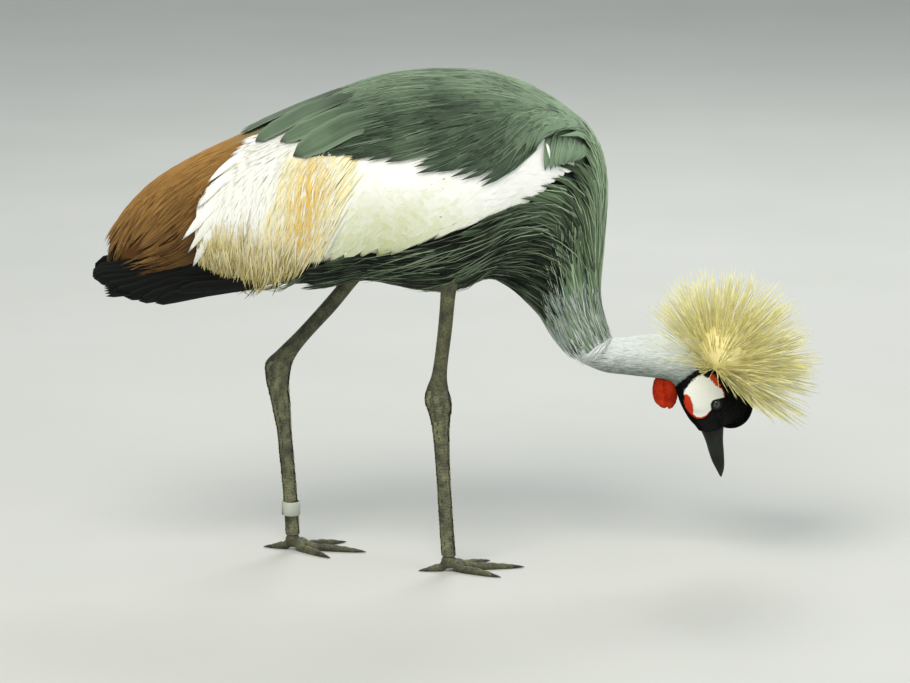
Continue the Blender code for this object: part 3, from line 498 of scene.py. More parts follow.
def inside(points, outline):
    """True for side-view points within a closed outline."""
    found = np.zeros(len(points), bool)
    for (x1, z1), (x2, z2) in zip(outline, np.roll(outline, -1, 0)):
        cross = (z1 > points[:, 1]) != (z2 > points[:, 1])
        with np.errstate(divide="ignore", invalid="ignore"):
            at = x1 + (points[:, 1] - z1) / (z2 - z1) * (x2 - x1)
        found ^= cross & (points[:, 0] < at)
    return found


def tips_in(outline, first, last, along, across, low=-180.0, high=180.0, outside=()):
    """Tips whose side view falls in one outline and in none of the others."""
    s, a = rows_of_tips(first, last, low, high, along, across)
    flat = side_view(bird_point(s, a))
    keep = inside(flat, outline)
    for other in outside:
        keep &= ~inside(flat, other)
    return s[keep], a[keep]


# %% Tracts
def value_at(value, p):
    return value(p) if callable(value) else value


def tract(name, form, material, tips, direction, length, width, thick, lifts, tilt=0.0, spread=0.15,
          map_span=(0, LAST), ragged=0.1, tone=None, mottle=0.13):
    """Feathers whose tips are given, followed back to their roots against the lie."""
    s, a = tips
    count, end = len(s), bird_point(s, a)
    long = value_at(length, end) * rng.uniform(1 - ragged, 1 + ragged, count)
    wander = rng.uniform(-spread, spread, count)

    def combed(p):
        flat = unit(direction(p))
        return flat + np.stack([-flat[:, 1], flat[:, 0]], 1) * wander[:, None]
    (hs, ha), (rs, ra) = walk(s, a, combed, -long)
    bent = [np.clip(2 * h - (r + t) / 2, np.minimum(r, t) - margin, np.maximum(r, t) + margin)
            for h, r, t, margin in ((hs, rs, s, 0.5), (ha, ra, a, 12))]
    rows = []
    for (station, degrees), lift in zip(((rs, ra), bent, (s, a)), lifts):
        lift = value_at(lift, end) + rng.uniform(-0.15, 0.15, count) * thick
        u, v = chart_place(station, degrees)
        rows.append(np.stack([np.clip(u, 0.005, 0.995), np.clip(v, 0.001, 0.999), lift], 1))
    rows.append(np.stack([width / 2 * rng.uniform(0.8, 1.2, count), np.full(count, thick),
                          tilt * np.sign(a) * rng.uniform(0.2, 1, count)], 1))
    first, last = map_span
    tint = np.clip(tone(end) + rng.normal(0, mottle, count), 0, 1) if tone else rng.random(count)
    rows.append(np.stack([0.01 + 0.98 * ((a + 180) / 360 % 1),
                          0.01 + 0.98 * np.clip((s - first) / (last - first), 0, 1), tint], 1))
    true = np.linalg.norm(bird_point(rs, ra) - end, axis=1) < 1.25 * long     # drops any that lost its way
    return lay(name, form, material, *(r[true] for r in rows))


print("vane forms:", [f.name for f in (LANCE, STRAND, BROAD, TUFT)])

# %% [markdown]
# ## The finish of a feather
# Feather is keratin, like horn, but its barbs scatter light: it looks soft, slightly silky along
# the barbs and paler where the loose edge lets light through. The material reads each vane's own
# coordinates: the shaft in the middle, barbs slanting from it, pale edges that are partly the
# fringe's own tone and partly a painted highlight, and in the dark feathers a root darkened as
# painted shade under the vanes above.

# %% Feather material
BARBS = 60.0        # along one vane


def feather_material(name, tones, silk=0.05, edge_share=0.3, streaks=0.3, bare=0.35, rough=0.62,
                     gloss=0.15, rim_from=0.6):
    """Tones are dark, light, edge and root: each vane's tint and the streaks along its barbs mix them. The edge
    tone is partly a painted highlight; in dark feathers the root tone is painted shade.
    """
    made, tree, shader, where = new_material(name)
    dark, light, edge, root = map(colour, tones.split())
    vane = add(tree, "Attribute", attribute_name="vane").outputs["Vector"]
    parts = add(tree, "SeparateXYZ", [vane]).outputs
    away = add(tree, "Math ABSOLUTE", [parts["X"]])
    cloud = add(tree, "TexNoise", [where, 22.0, 3.0])
    lines = add(tree, "VectorMath MULTIPLY", [vane, (6.5, 0.9, 57.0)])
    streak = add(tree, "TexNoise", [lines, 1.0, 3.0])
    mix = add(tree, "Math MULTIPLY_ADD", [streak, streaks, parts["Z"]])
    mix = add(tree, "Math MULTIPLY_ADD", [cloud, 0.5, mix])
    mix = add(tree, "Math SUBTRACT", [mix, streaks / 2 + 0.25], use_clamp=True)
    body = add(tree, "Mix RGBA", [mix, dark, light])
    # pale edges: partly the fringe's own tone, partly a painted highlight
    rim = add(tree, "MapRange", [away, rim_from, 1.0, 0.0, edge_share])
    body = add(tree, "Mix RGBA", [rim, body, edge])
    # towards the root each vane takes the root tone; in the dark feathers this is painted shade under the
    # overlapping vanes
    root_tone_and_shade = add(tree, "MapRange", [parts["Y"], bare, bare + 0.5, 0.9, 0.0])
    body = add(tree, "Mix RGBA", [root_tone_and_shade, body, root])
    # barbs leave the shaft at about forty degrees; real ones are 0.4 mm apart, drawn at about 1 mm
    slant = add(tree, "Math MULTIPLY_ADD", [away, 0.12, parts["Y"]])
    comb = add(tree, "Math SINE", [add(tree, "Math MULTIPLY", [slant, BARBS * 6.283])])
    shaft = add(tree, "MapRange", [away, 0.0, 0.16, 1.0, 0.0])
    relief = add(tree, "Math MULTIPLY_ADD", [streak, 4.0, comb])
    relief = add(tree, "Math MULTIPLY_ADD", [shaft, 2.0, relief])
    bump = add(tree, "Bump", {"Strength": 0.4, "Distance": 0.0003, "Height": relief})
    wire(tree, shader, {"Base Color": body, "Normal": bump, "Roughness": rough, "Sheen Weight": silk,
                        "Sheen Roughness": 0.4, "Specular IOR Level": gloss})
    return made


# the green in the greys of the slate, breast and pale neck feathers, and of the skin under them, is a painted
# reflection of green grass; the greys are the feathers' own
slate = feather_material("slate_feather", "#1f2c20 #87a080 #93aa8c #1b261c",
                         silk=0.1, edge_share=0.4, streaks=0.4, bare=0.0)
slate_barb = feather_material("slate_barb", "#4a5f47 #a4ba9c #a9bea2 #43563f",
                              silk=0.1, edge_share=0.2, bare=-0.2)
chestnut = feather_material("chestnut_feather", "#2e1604 #b4884a #b98f54 #1c0d02",
                            edge_share=0.25, streaks=1.1)
# the darkest tone, used low on the panel, is partly the coverts' own cream and partly painted shade with a
# painted green reflection
white = feather_material("white_covert", "#c3cc78 #fffffa #fffff6 #fbf9e6", bare=-0.2)
straw = feather_material("straw_plume", "#efc747 #fff9d0 #fff5bc #fffbe6",
                         edge_share=0.1, streaks=0.25, bare=0.1)
hanging = feather_material("hanging_straw_barb", "#a08a33 #f3e6a2 #f6edbc #fffdf0",
                           edge_share=0.2)
black = feather_material("black_feather", "#030403 #101511 #222a24 #020302",
                         edge_share=0.55, streaks=0.8, rough=0.5)
breast = feather_material("breast_feather", "#030602 #7c9670 #a9c19b #020302",
                          streaks=0.7, bare=0.2, rim_from=0.75)
breast_barb = feather_material("breast_barb", "#0d150b #b0c7a2 #b9cfac #080d06",
                               edge_share=0.1, bare=0.1)
pale_neck = feather_material("pale_neck_feather", "#50665a #eaf0ec #eef2ef #7c8d80",
                             silk=0.15, streaks=0.4, bare=-0.2)

# %% [markdown]
# ## The tracts of the body
# From the photo the right side shows, in order from the top: the slate mantle, the white
# coverts that turn to straw plumes behind, the chestnut secondaries over the rump, the black
# primaries, and the narrow breast feathers that sweep round from the neck.

# %% Outlines of the tracts in the side view: x z, in millimetres
MANTLE = metres("""-262 600, -262 474, -240 476, -220 475, -179 478, -182 462, -147 461,
    -108 455, -58 443, -5 432, 24 428, 50 437, 77 453, 88 467, 99 478, 125 500, 150 520, 150 600""")
PANEL = metres("""-245 482, -253 470, -275 435, -288 410, -296 390, -305 371, -295 346,
    -277 338, -251 333, -198 336, -181 341, -133 343, -77 351, -21 371, 35 396, 77 423, 114 453,
    113 475, 24 460, -68 480, -179 495""")
CHESTNUT = metres("""-2350 5100, -4200 4600, -4200 3500, -4030 3500, -3830 3315, -3730 3290,
    -3470 3340, -3240 3490, -3070 3615, -2900 3720, -2810 4100, -2520 4700""", TENTHS)
WRIST = metres("""91 452, 90 486, 105 499, 148 503, 152 470, 128 449""")
MANTLE_LIE = lie_of("""68 538 -95 25, -23 556 -100 -2, -124 536 -97 -25, -203 498 -92 -40,
    113 521 -80 50, 113 498 -70 -30, 85 498 -60 -80, 73 469 -60 -80, 34 486 -80 -55, 23 446 -85 -50,
    -34 498 -93 -35, -68 463 -95 -28, -147 486 -95 -30, -158 465 -100 -12, 11 532 -100 -12""")
PANEL_LIE = lie_of("""68 442 -90 -35, -11 417 -75 -60, -68 400 -55 -80, -113 429 -60 -75,
    -68 440 -80 -60, -136 382 -45 -90, -169 417 -20 -100, -181 371 -30 -95, -215 429 -35 -93,
    -226 371 -10 -100, -249 452 -75 -70, -277 394 -35 -93, -266 359 -10 -100, -215 465 -70 -60""")
CHESTNUT_LIE = lie_of("""-294 452 -85 -50, -350 405 -65 -75, -384 371 -50 -85, -316 371 -75 -65,
    -350 342 -95 -25, -282 417 -70 -70, -260 463 -85 -50""")
BREAST_LIE = lie_of("""163 382 -5 100, 163 429 -15 100, 156 463 -45 90, 147 440 -50 85,
    136 463 -95 35, 113 460 -100 -5, 90 449 -90 -40, 68 432 -90 -45, 45 420 -93 -35, 136 429 -70 70,
    119 434 -85 50, 113 411 -90 40, 90 411 -93 35, 68 419 -100 0, 45 405 -100 -10, 23 392 -100 -18,
    -23 365 -100 -12, 66 389 -95 -30, 38 375 -93 -36, -68 345 -100 -10, -124 330 -100 -10,
    11 345 -97 -25, 141 400 -40 92, 124 394 -45 90, 107 388 -75 66, 152 345 -42 90, 138 320 -55 83,
    158 300 -30 95, 170 340 -12 100""")
NECK_LIE = lie_of("""130 429 0 -100, 130 371 5 -100, 147 371 30 -95, 158 371 10 -100,
    113 348 25 -97, 136 313 20 -98, 158 301 5 -100, 124 278 45 -90, 147 261 50 -86, 164 267 30 -95,
    180 245 98 -15""")
print("tract outlines:", [len(outline) for outline in (MANTLE, PANEL, CHESTNUT)])


# %% Tones and lifts of the body
def ramp(value, low, high):
    return np.clip((value - low) / (high - low), 0, 1)


def below_ridge(x, z):
    """How far a place of the side view lies under the ridge of the back."""
    return 0.562 - 2.2 * (x + 0.03) ** 2 - z


def mantle_tone(p):
    """Lighter over the back's ridge and towards the shoulder, where the light falls on it."""
    x, z = side_view(p).T
    return 0.17 + 0.38 * ramp(-below_ridge(x, z), -0.055, 0) + 0.75 * ramp(x, 0.02, 0.11)


def rising(low, extra, share):
    """A lift that grows with a share of the place in the side view."""
    return lambda p: low + extra * share(*side_view(p).T)


def over_panel(x, z):
    """From the ridge of the back towards the mantle's edge over the white panel."""
    return ramp(below_ridge(x, z), 0.010, 0.045)


def over_blades(x, z):
    """Towards the lower ends, which hang over the black blades."""
    return ramp(0.365 - z, 0.0, 0.035) * ramp(x, -0.392, -0.372)


def panel_tone_and_reflection(p):
    """White along the top and behind, greenish cream below and in front: partly the coverts' own cream, partly
    painted shade with a painted green reflection.
    """
    x, z = side_view(p).T
    top = np.interp(x, [-0.30, -0.18, -0.06, 0.02, 0.12], [0.47, 0.47, 0.447, 0.435, 0.475])
    return 1.0 - 0.85 * ramp(top - z, 0.035, 0.115) * ramp(x, -0.20, -0.10)


def chestnut_tone(p):
    x, z = side_view(p).T
    return 0.15 + 0.75 * ramp(z - 0.35 - 0.75 * (x + 0.33), 0.0, 0.085)


def panel_length(p):
    """Short feathers by the wrist, long ones behind."""
    return 0.024 + 0.046 * ramp(0.09 - p[:, 0], 0.0, 0.09)


# %% Lay the body tracts
tract("mantle_feathers", LANCE, slate, tips_in(MANTLE, 1.2, 14, 0.046, 0.0050, -110, 110),
      MANTLE_LIE, 0.135, 0.0150, 0.0006,
      (-0.005, rising(0.0018, 0.0030, over_panel), rising(0.0012, 0.0028, over_panel)),
      tilt=0.0004, spread=0.04, tone=mantle_tone, mottle=0.05)
tract("mantle_barbs", STRAND, slate_barb, tips_in(MANTLE, 1.2, 14, 0.028, 0.0080, -110, 110),
      MANTLE_LIE, 0.125, 0.0013, 0.0005,
      (-0.003, rising(0.0026, 0.0030, over_panel), rising(0.0024, 0.0030, over_panel)),
      spread=0.07, ragged=0.3, tone=lambda p: mantle_tone(p) - 0.05, mottle=0.2)
tract("wing_coverts", LANCE, white, tips_in(PANEL, 2.2, 13.4, 0.016, 0.0062, outside=(WRIST,)),
      PANEL_LIE, panel_length, 0.020, 0.0002, (-0.0006, 0.0008, 0.0000), spread=0.05,
      tone=panel_tone_and_reflection, mottle=0.05)
tract("chestnut_secondaries", LANCE, chestnut, tips_in(CHESTNUT, 0.1, 6.5, 0.030, 0.0048),
      CHESTNUT_LIE, 0.110, 0.0125, 0.0010,
      (-0.004, rising(0.0010, 0.003, over_blades), rising(0.0010, 0.010, over_blades)),
      tilt=0.0010, spread=0.06, tone=chestnut_tone)
tract("chestnut_strands", STRAND, chestnut, tips_in(CHESTNUT, 0.1, 6.5, 0.018, 0.0044),
      CHESTNUT_LIE, 0.090, 0.0026, 0.0008,
      (-0.002, rising(0.0022, 0.003, over_blades), rising(0.0022, 0.010, over_blades)),
      spread=0.08, tone=lambda p: chestnut_tone(p) + 0.1)

# %% [markdown]
# ## White and straw plumes
# Behind, the white coverts lengthen into loose plumes that hang over the rump: white with
# pointed ends, golden in one band, and thinning to straw-coloured hairs along the lower edge.
# They are separate barbs, so they are laid as many narrow strands with free tips.

# %% Plumes
REAR_PANEL = metres("""-1500 5000, -2407 4820, -2509 4701, -2746 4354, -2882 4100, -2938 3904,
    -3074 3719, -2972 3442, -2825 3384, -2620 3450, -2150 3450, -1500 3520, -1350 4200""", TENTHS)
GOLDEN = metres("""-200 452, -150 460, -128 440, -140 380, -158 340, -215 332, -222 370, -206 405""")
FRINGE = metres("""-292 366, -294 342, -277 331, -250 323, -224 321, -196 325, -176 334,
    -190 350, -235 358""")


def golden_band(p):
    """Paleness of the plumes: 0 in the middle of the golden band, 1 well away from it."""
    x, z = side_view(p).T
    middle = -0.166 - 0.30 * np.clip(0.41 - z, 0, 1)
    return np.clip(np.abs(x - middle) / 0.036 + 0.12 + 0.45 * ramp(z, 0.42, 0.46), 0, 1)


def by_mantle(x, z):
    """Towards the highest plumes, whose roots lie under the mantle."""
    return ramp(z, 0.405, 0.460)


def hair_lift(p):
    """The lowest hairs stand off unevenly."""
    return 0.006 + 0.014 * ramp(0.350 - side_view(p)[:, 1], 0, 0.03) * rng.random(len(p))


tract("white_plumes", STRAND, white, tips_in(REAR_PANEL, 3.0, 8.5, 0.013, 0.0034),
      PANEL_LIE, 0.085, 0.0060, 0.0009, (-0.007, rising(0.0016, -0.0050, by_mantle), 0.0046), spread=0.10,
      ragged=0.2, tone=lambda p: 0.95, mottle=0.08)
tract("golden_plumes", STRAND, straw, tips_in(GOLDEN, 3.0, 8.5, 0.012, 0.0030),
      PANEL_LIE, 0.080, 0.0026, 0.0008, (-0.007, rising(0.0024, -0.0050, by_mantle), 0.0058), spread=0.10,
      ragged=0.3, tone=golden_band, mottle=0.12)
tract("straw_fringe", STRAND, hanging, tips_in(FRINGE, 3.0, 8.5, 0.0075, 0.0036),
      PANEL_LIE, 0.050, 0.0019, 0.0008, (0.001, 0.0040, hair_lift), spread=0.28, ragged=0.55,
      tone=lambda p: 0.5, mottle=0.3)

# %% [markdown]
# ## Breast and neck
# The breast feathers are narrow lances that start on the front of the neck, rise over it and
# sweep back along the belly. Below a parting the same kind of feather hangs down the neck, to
# a hem of loose pale tips. From there up the neck has short hair-like feathers.

# %% Breast, neck and throat
BREAST = metres("""77 426, 104 454, 129 463, 133 486, 127 512, 138 532, 186 509, 186 292,
    150 290, 133 318, 128 365, 131 405, 120 422, 106 392, 86 359, 60 301, -181 290, -181 341, -133 345,
    -77 353, -21 373, 35 398""")
NECK = metres("""108 395, 133 398, 147 360, 190 340, 190 301, 203 249, 158 203, 113 235,
    50 301, 75 335, 100 350""")
HEM_BAND = metres("""100 300, 185 300, 205 245, 158 203, 113 235""")
NECK_STRANDS = metres("""106 385, 135 385, 150 330, 190 301, 203 249, 158 203, 125 235, 95 290""")
NAPE = metres("""1300 2800, 1300 1500, 2360 1500, 2360 1900, 2418 1987, 2468 2071, 2617 2190,
    2716 2290, 2850 2800""", TENTHS)      # grey as far as a slanting line behind the cheek


def breast_tone_and_shade(p):
    """Nearly black on the belly, partly the feathers' own dark grey and partly painted shade under the body;
    slate by the white panel, paler on the shoulder and in front.
    """
    x, z = side_view(p).T
    edge = np.interp(x, [-0.08, -0.021, 0.035, 0.077, 0.114, 0.18], [0.352, 0.371, 0.396, 0.423, 0.453, 0.500])
    by_panel = 0.42 * ramp(x, -0.03, 0.08) * (1 - ramp(edge - z, 0.010, 0.050))
    return np.maximum(by_panel, 0.62 * ramp(x, 0.105, 0.15) + 0.35 * ramp(z, 0.42, 0.52))


def neck_tone_and_shadow(p):
    """Dark behind, a painted shadow where the neck meets the belly, then mid slate, and pale further down."""
    x, z = side_view(p).T
    back = np.interp(z, [0.235, 0.290, 0.304, 0.316, 0.326, 0.40], [0.113, 0.087, 0.077, 0.0675, 0.057, 0.080])
    return 0.12 + 0.50 * ramp(x - back, 0.006, 0.040) + 0.60 * ramp(0.315 - z, 0.0, 0.065)


def neck_length(p):
    """The feathers that hang down the neck all start below the arcs of the breast."""
    x, z = side_view(p).T
    top = np.interp(x, [0.060, 0.087, 0.100, 0.108, 0.133, 0.148, 0.165],
                    [0.315, 0.335, 0.360, 0.405, 0.408, 0.360, 0.335])
    return np.clip(1.05 * (top - z), 0.012, 0.080)


tract("breast_feathers", LANCE, breast, tips_in(BREAST, 5.5, 18, 0.022, 0.0072),
      BREAST_LIE, 0.090, 0.0110, 0.0014, (-0.004, 0.0020, 0.0018), tilt=0.0016, spread=0.12, ragged=0.2,
      tone=breast_tone_and_shade, mottle=0.10)
tract("breast_strands", STRAND, breast_barb, tips_in(BREAST, 5.5, 18, 0.020, 0.0080),
      BREAST_LIE, 0.090, 0.0016, 0.0007, (-0.003, 0.0034, 0.0040), spread=0.18, ragged=0.3,
      tone=lambda p: 0.06 + 1.35 * breast_tone_and_shade(p), mottle=0.30)
tract("neck_feathers", LANCE, breast, tips_in(NECK, 14, HEM + 0.6, 0.016, 0.0046),
      NECK_LIE, neck_length, 0.0070, 0.0010, (-0.003, 0.0014, 0.0012), tilt=0.0008, spread=0.09,
      ragged=0.2, tone=neck_tone_and_shadow)
tract("neck_strands", STRAND, breast_barb, tips_in(NECK_STRANDS, 14, HEM + 0.9, 0.020, 0.0075),
      NECK_LIE, neck_length, 0.0015, 0.0006, (-0.002, 0.0022, 0.0028), spread=0.10, ragged=0.3,
      tone=lambda p: neck_tone_and_shadow(p) + 0.1, mottle=0.2)
tract("upper_neck_feathers", TUFT, pale_neck, tips_in(NAPE, HEM - 0.7, HEM + 11, 0.0026, 0.0014),
      lie_of("200 240 -100 0, 250 230 -95 10"), 0.015, 0.0018, 0.0003, (-0.0010, 0.0002, 0.0001), spread=0.08,
      map_span=(HEM - 1, HEM + 11), tone=lambda p: 0.02 + ramp(side_view(p)[:, 1], 0.205, 0.242))
tract("hem_strands", STRAND, pale_neck, tips_in(HEM_BAND, 14, HEM + 1.0, 0.007, 0.0038),
      NECK_LIE, 0.052, 0.0017, 0.0006, (-0.002, 0.0026, 0.0030), spread=0.22, ragged=0.45,
      tone=lambda p: 0.20 + 0.55 * ramp(0.285 - side_view(p)[:, 1], 0, 0.06), mottle=0.25)

# %% [markdown]
# ## Wrist and shoulder
# The wrist of the folded wing is a small smooth knob of blue-grey feathers in front of the
# panel, with a white spot behind it. The longest shoulder feathers end the mantle in a few broad
# points. Both are few, so each feather has its own place.

# %% Places of single feathers: x z of root, middle and tip in the side view, and width
def wisps(count, *spans):
    """Loose barbs over the belly, from spans of x, z, reach and drop."""
    x, z, reach, drop = (rng.uniform(*span, count) for span in spans)
    return np.stack([x, z, x - reach * 0.45, z - drop * 0.35, x - reach, z - drop, np.full(count, 0.0015)], 1)


KNOB = [(0.1010 + 0.0060 * k, 0.4895 - 0.0002 * k * k, 0.0935 + 0.0064 * k, 0.4695 + 0.0004 * k,
         0.0930 + 0.0048 * k, 0.4465 + 0.0016 * k, 0.0110) for k in (0, 7, 6, 1, 5, 2, 4, 3)]
KNOB_BARBS = [(0.1055 + 0.007 * k, 0.484, 0.0995 + 0.0072 * k, 0.470, 0.0980 + 0.0050 * k, 0.454, 0.0009)
              for k in range(4)]
WHITE_SLIT = metres("950 4770 930 4700 965 4610 34", TENTHS)
LONG_FEATHERS = metres("""-120 550 -190 530 -244 487 26, -110 535 -175 515 -226 477 32,
    -90 520 -145 505 -199 478 26, -65 510 -125 500 -183 462 34""")
PLUME_POINTS = metres("""-2620 4250 -2830 3970 -3090 3715 110, -2680 4000 -2840 3710 -2990 3430 100,
    -2500 4520 -2710 4280 -2925 4040 100, -2360 4700 -2560 4530 -2790 4320 100,
    -2660 4100 -2820 3850 -3030 3580 90""", TENTHS)
COLLAR = [(0.1690 - 0.0014 * k, 0.2600 - 0.0012 * k, 0.1600 - 0.0018 * k, 0.2470 - 0.0010 * (k % 3),
           0.1560 - 0.0030 * k, 0.2290 - 0.0016 * (k % 4), 0.0013) for k in range(9)]
BELLY_WISPS = np.concatenate([
    wisps(30, (-0.03, 0.09), (0.345, 0.375), (0.07, 0.12), (0.018, 0.042)),
    wisps(12, (-0.20, -0.16), (0.328, 0.336), (0.03, 0.06), (0.014, 0.026))])


# %% Wrist knob, long shoulder feathers and loose tips
def vane_rows(roots, bends, tips, width, thick, chart=chart_place):
    """Rows for lay() from (station, degrees, lift) places."""
    rows = []
    for places in (roots, bends, tips):
        places = np.array(places, float)
        u, v = chart(places[:, 0], places[:, 1])
        rows.append(np.stack([u, v, places[:, 2]], 1))
    count = len(roots)
    size = np.stack([np.full(count, width / 2), np.full(count, thick), np.zeros(count)], 1)
    on_map = np.stack([np.linspace(0.1, 0.9, count), np.full(count, 0.5), rng.random(count) * 0.5], 1)
    return (*rows, size, on_map)


def placed(name, form, material, feathers, lifts, thick, tint, rise=()):
    """Feathers given one by one in the side view, on both wings; rise adds to the lifts of each."""
    ways, widths = [], []
    for side, _ in SIDES:
        for k, (*way, width) in enumerate(feathers):
            more = rise[k] if rise else 0
            ways.append([(*place_of(*way[2 * i:2 * i + 2], side), lift + more) for i, lift in enumerate(lifts)])
            widths.append(width)
    made = vane_rows(*zip(*ways), np.array(widths), thick)
    made[4][:, 2] = tint + rng.uniform(-0.06, 0.06, len(ways))
    lay(name, form, material, *made)


placed("wrist_feathers", LANCE, slate, KNOB, (-0.0035, 0.0086, 0.0022), 0.0010, 0.80,
       (0.0, -0.0020, -0.0004, 0.0012, 0.0010, 0.0024, 0.0026, 0.0034))
placed("wrist_barbs", STRAND, slate_barb, KNOB_BARBS, (0.0015, 0.0118, 0.0050), 0.0005, 0.85)
placed("wrist_spot", STRAND, white, WHITE_SLIT, (0.0040, 0.0105, 0.0060), 0.0005, 0.95)
placed("long_shoulder_feathers", BROAD, slate, LONG_FEATHERS, (0.000, 0.0072, 0.0056), 0.0014, 0.42)
placed("belly_wisps", STRAND, breast_barb, BELLY_WISPS, (0.000, 0.0050, 0.0070), 0.0007, 0.42)
placed("collar_wisps", STRAND, pale_neck, COLLAR, (0.0020, 0.0056, 0.0034), 0.0006, 0.9)
placed("plume_points", LANCE, white, PLUME_POINTS, (0.002, 0.0062, 0.0058), 0.0010, 0.95)

# %% [markdown]
# ## One skin
# Under the feathers one sheet runs from the rump to the root of the bill, so that no seam shows
# where the solids part. It lies inside them by the depth of the coat, carries the same markings
# as the feathers above it, and is bare on the cheeks. The markings are outlines in the side
# view, a little softened, painted on a fine mesh.

# %% Markings of the head in the side view
CHEEK_PATCH = metres("""2748 2154, 2813 2116, 2888 2027, 2964 1983, 2985 1894, 2931 1878, 2856 1861,
    2828 1817, 2840 1751, 2780 1684, 2726 1656, 2672 1668, 2640 1696, 2634 1783, 2597 1894, 2564 1928,
    2521 1917, 2531 1994, 2607 2071, 2683 2138""", TENTHS)
LOW_RED = metres("""2564 1932, 2521 1920, 2510 1872, 2531 1795, 2585 1717, 2640 1666, 2683 1640,
    2748 1646, 2791 1676, 2836 1744, 2780 1691, 2726 1668, 2672 1677, 2644 1721, 2634 1783, 2597 1894""", TENTHS)
TOP_RED = metres("""2768 2154, 2867 2200, 2900 2160, 2953 2056, 3006 1963, 2997 1888, 2964 1961,
    2900 2015, 2834 2093""", TENTHS)
EYE, EYE_RADIUS = np.array([0.2893, 0.0122, 0.1845]), 0.0066


def eye_axis(side):
    return EYE * [1, side, 1], unit(np.array([0.12, side, 0.05]))


def off_axis(p, side):
    """Distance of points from the line that an eye looks along."""
    centre, out = eye_axis(side)
    off = p - centre
    return np.linalg.norm(off - (off @ out)[..., None] * out, axis=-1)


def ground_colour(p, station):
    """Colour of the skin under the coat at each point."""
    flat = side_view(p)
    tones = np.tile(colour("#46524b"), (len(p), 1))
    face = station > HEM + 5
    # the panel's pale ground is raised 3 mm, leaving dark ground along the panel's lower edge as a painted
    # shadow
    for where, hex_value in (
            (inside(flat, BREAST), "#1d2420"), (inside(flat - [0, 0.003], PANEL), "#e9e4cc"),
            (inside(flat, CHESTNUT), "#5a3a18"), (inside(flat, MANTLE), "#4f6049"),
            ((station > 13.5) & inside(flat, NECK), "#4b5a52"),
            ((station < 14) & inside(flat, WRIST), "#56694f"),
            ((station > 14) & (flat[:, 1] < 0.285), "#6f8169"), (station > HEM - 0.9, "#9aa8a0"),
            ((station > HEM + 4) & ~inside(flat, NAPE), "#050505"), (face & inside(flat, LOW_RED), "#d2380f"),
            (face & inside(flat, TOP_RED), "#d2421a"), (face & inside(flat, CHEEK_PATCH), "#fffff6")):
        tones[where] = colour(hex_value)
    return tones


def painted(obj, tones):
    obj.data.color_attributes.new("ground", "FLOAT_COLOR", "POINT").data.foreach_set("color", tones.ravel())
    return obj


# %% Build the skin
def skin_grid():
    rows = np.concatenate([np.arange(2, HEM, 1 / 6), np.arange(HEM, HEM + 5, 1 / 10),
                           np.arange(HEM + 5, LAST + 0.01, 1 / 22)])
    turns = np.arange(-180, 180, 2.5)
    s, a = grid(rows, turns)
    p = bird_point(s, a)
    rear = s < 6
    rump = with_fullness(np.vstack([RUMP, BODY[4:], HEAD]), (2.2, 2.4, 2.8, 2.8, 2.6, 2.4, 2.2))
    p[rear] = section_point(rows_at(rump, s[rear] - 2), a[rear])[1]
    points = p.reshape(len(rows), len(turns), 3)
    normal = unit(np.cross(np.gradient(points, axis=0), np.roll(points, -1, 1) - np.roll(points, 1, 1)))
    if ((normal * (points - points.mean(1, keepdims=True))).sum(2) < 0).mean() > 0.5:
        normal = -normal
    coat = np.interp(rows, [2, 16, HEM, HEM + 1, HEM + 6, HEM + 8, LAST],
                     [0.0035, 0.0035, 0.003, 0.0012, 0.0012, 0.0004, 0.0003])
    return points - normal * coat[:, None, None], rows, turns


def sunk_sockets(points, rows):
    """Lets each eyeball into the head, with a low rim of bare skin round it."""
    for side, _ in SIDES:
        away = off_axis(points, side)
        near = (rows[:, None] > HEM + 6) & (points[..., 1] * side > 0.004)
        sink = np.clip((5.0e-3 - away) / 0.9e-3, 0, 1)
        sink = sink * sink * (3 - 2 * sink) * 6e-3
        rim = np.exp(-((away - 5.6e-3) / 1.0e-3) ** 2) * 0.5e-3
        points = points + np.where(near, rim - sink, 0)[..., None] * eye_axis(side)[1]
    return points


def build_skin():
    points, rows, turns = skin_grid()
    points = sunk_sockets(points, rows).reshape(-1, 3)
    station, turn = grid(rows, turns)
    skin = mesh_piece("skin", points, tube_faces(len(rows), len(turns)))
    painted(skin, ground_colour(points, station))
    chart = np.stack([(turn + 180) / 360, (station - 2) / (LAST - 2)], 1)
    uv = chart[[l.vertex_index for l in skin.data.loops]]
    for p in skin.data.polygons:        # a face across the seam of the map ends past its edge
        span = uv[p.loop_start:p.loop_start + p.loop_total, 0]
        if p.loop_total == 4 and np.ptp(span) > 0.5:
            span[span < 0.5] += 1
    uv[:, 0] *= 0.98
    skin.data.uv_layers.new(name="OFBake").data.foreach_set("uv", uv.ravel())
    return skin


def skin_material():
    """Matt skin and the base of the down: each tone has the fine grain of feather roots."""
    made, tree, shader, where = new_material("bird_skin")
    tone = add(tree, "Attribute", attribute_name="ground").outputs["Color"]
    grain = add(tree, "TexNoise", [where, 700.0, 2.0])
    speck = add(tree, "MapRange", [grain, 0.0, 1.0, 0.86, 1.08])
    shaded = add(tree, "VectorMath SCALE", {0: tone, "Scale": speck})
    relief = add(tree, "Math MULTIPLY_ADD", [add(tree, "TexVoronoi", [where, 900.0]), 0.6, grain])
    bump = add(tree, "Bump", {"Strength": 0.35, "Distance": 0.0004, "Height": relief})
    wire(tree, shader, {"Base Color": shaded, "Normal": bump, "Roughness": 0.7, "Specular IOR Level": 0.2})
    return made


bird_skin, skin = skin_material(), build_skin()
place(skin, bird_skin, ("torso", "neck_lower", "neck_upper", "head"))

# %% [markdown]
# ## Wing blades
# The folded wings reach back over the tail, where no skin lies under them. A thin curved blade
# on each side, in the tones of the feathers above it, closes the view between the vanes.

# %% Wing blades
WING_EDGES = metres("0.3 9 120, 1.35 7 130, 2 5 142, 3 5 147, 4 12 146, 5 34 146, 6 60 146, 7 77 146", 1)


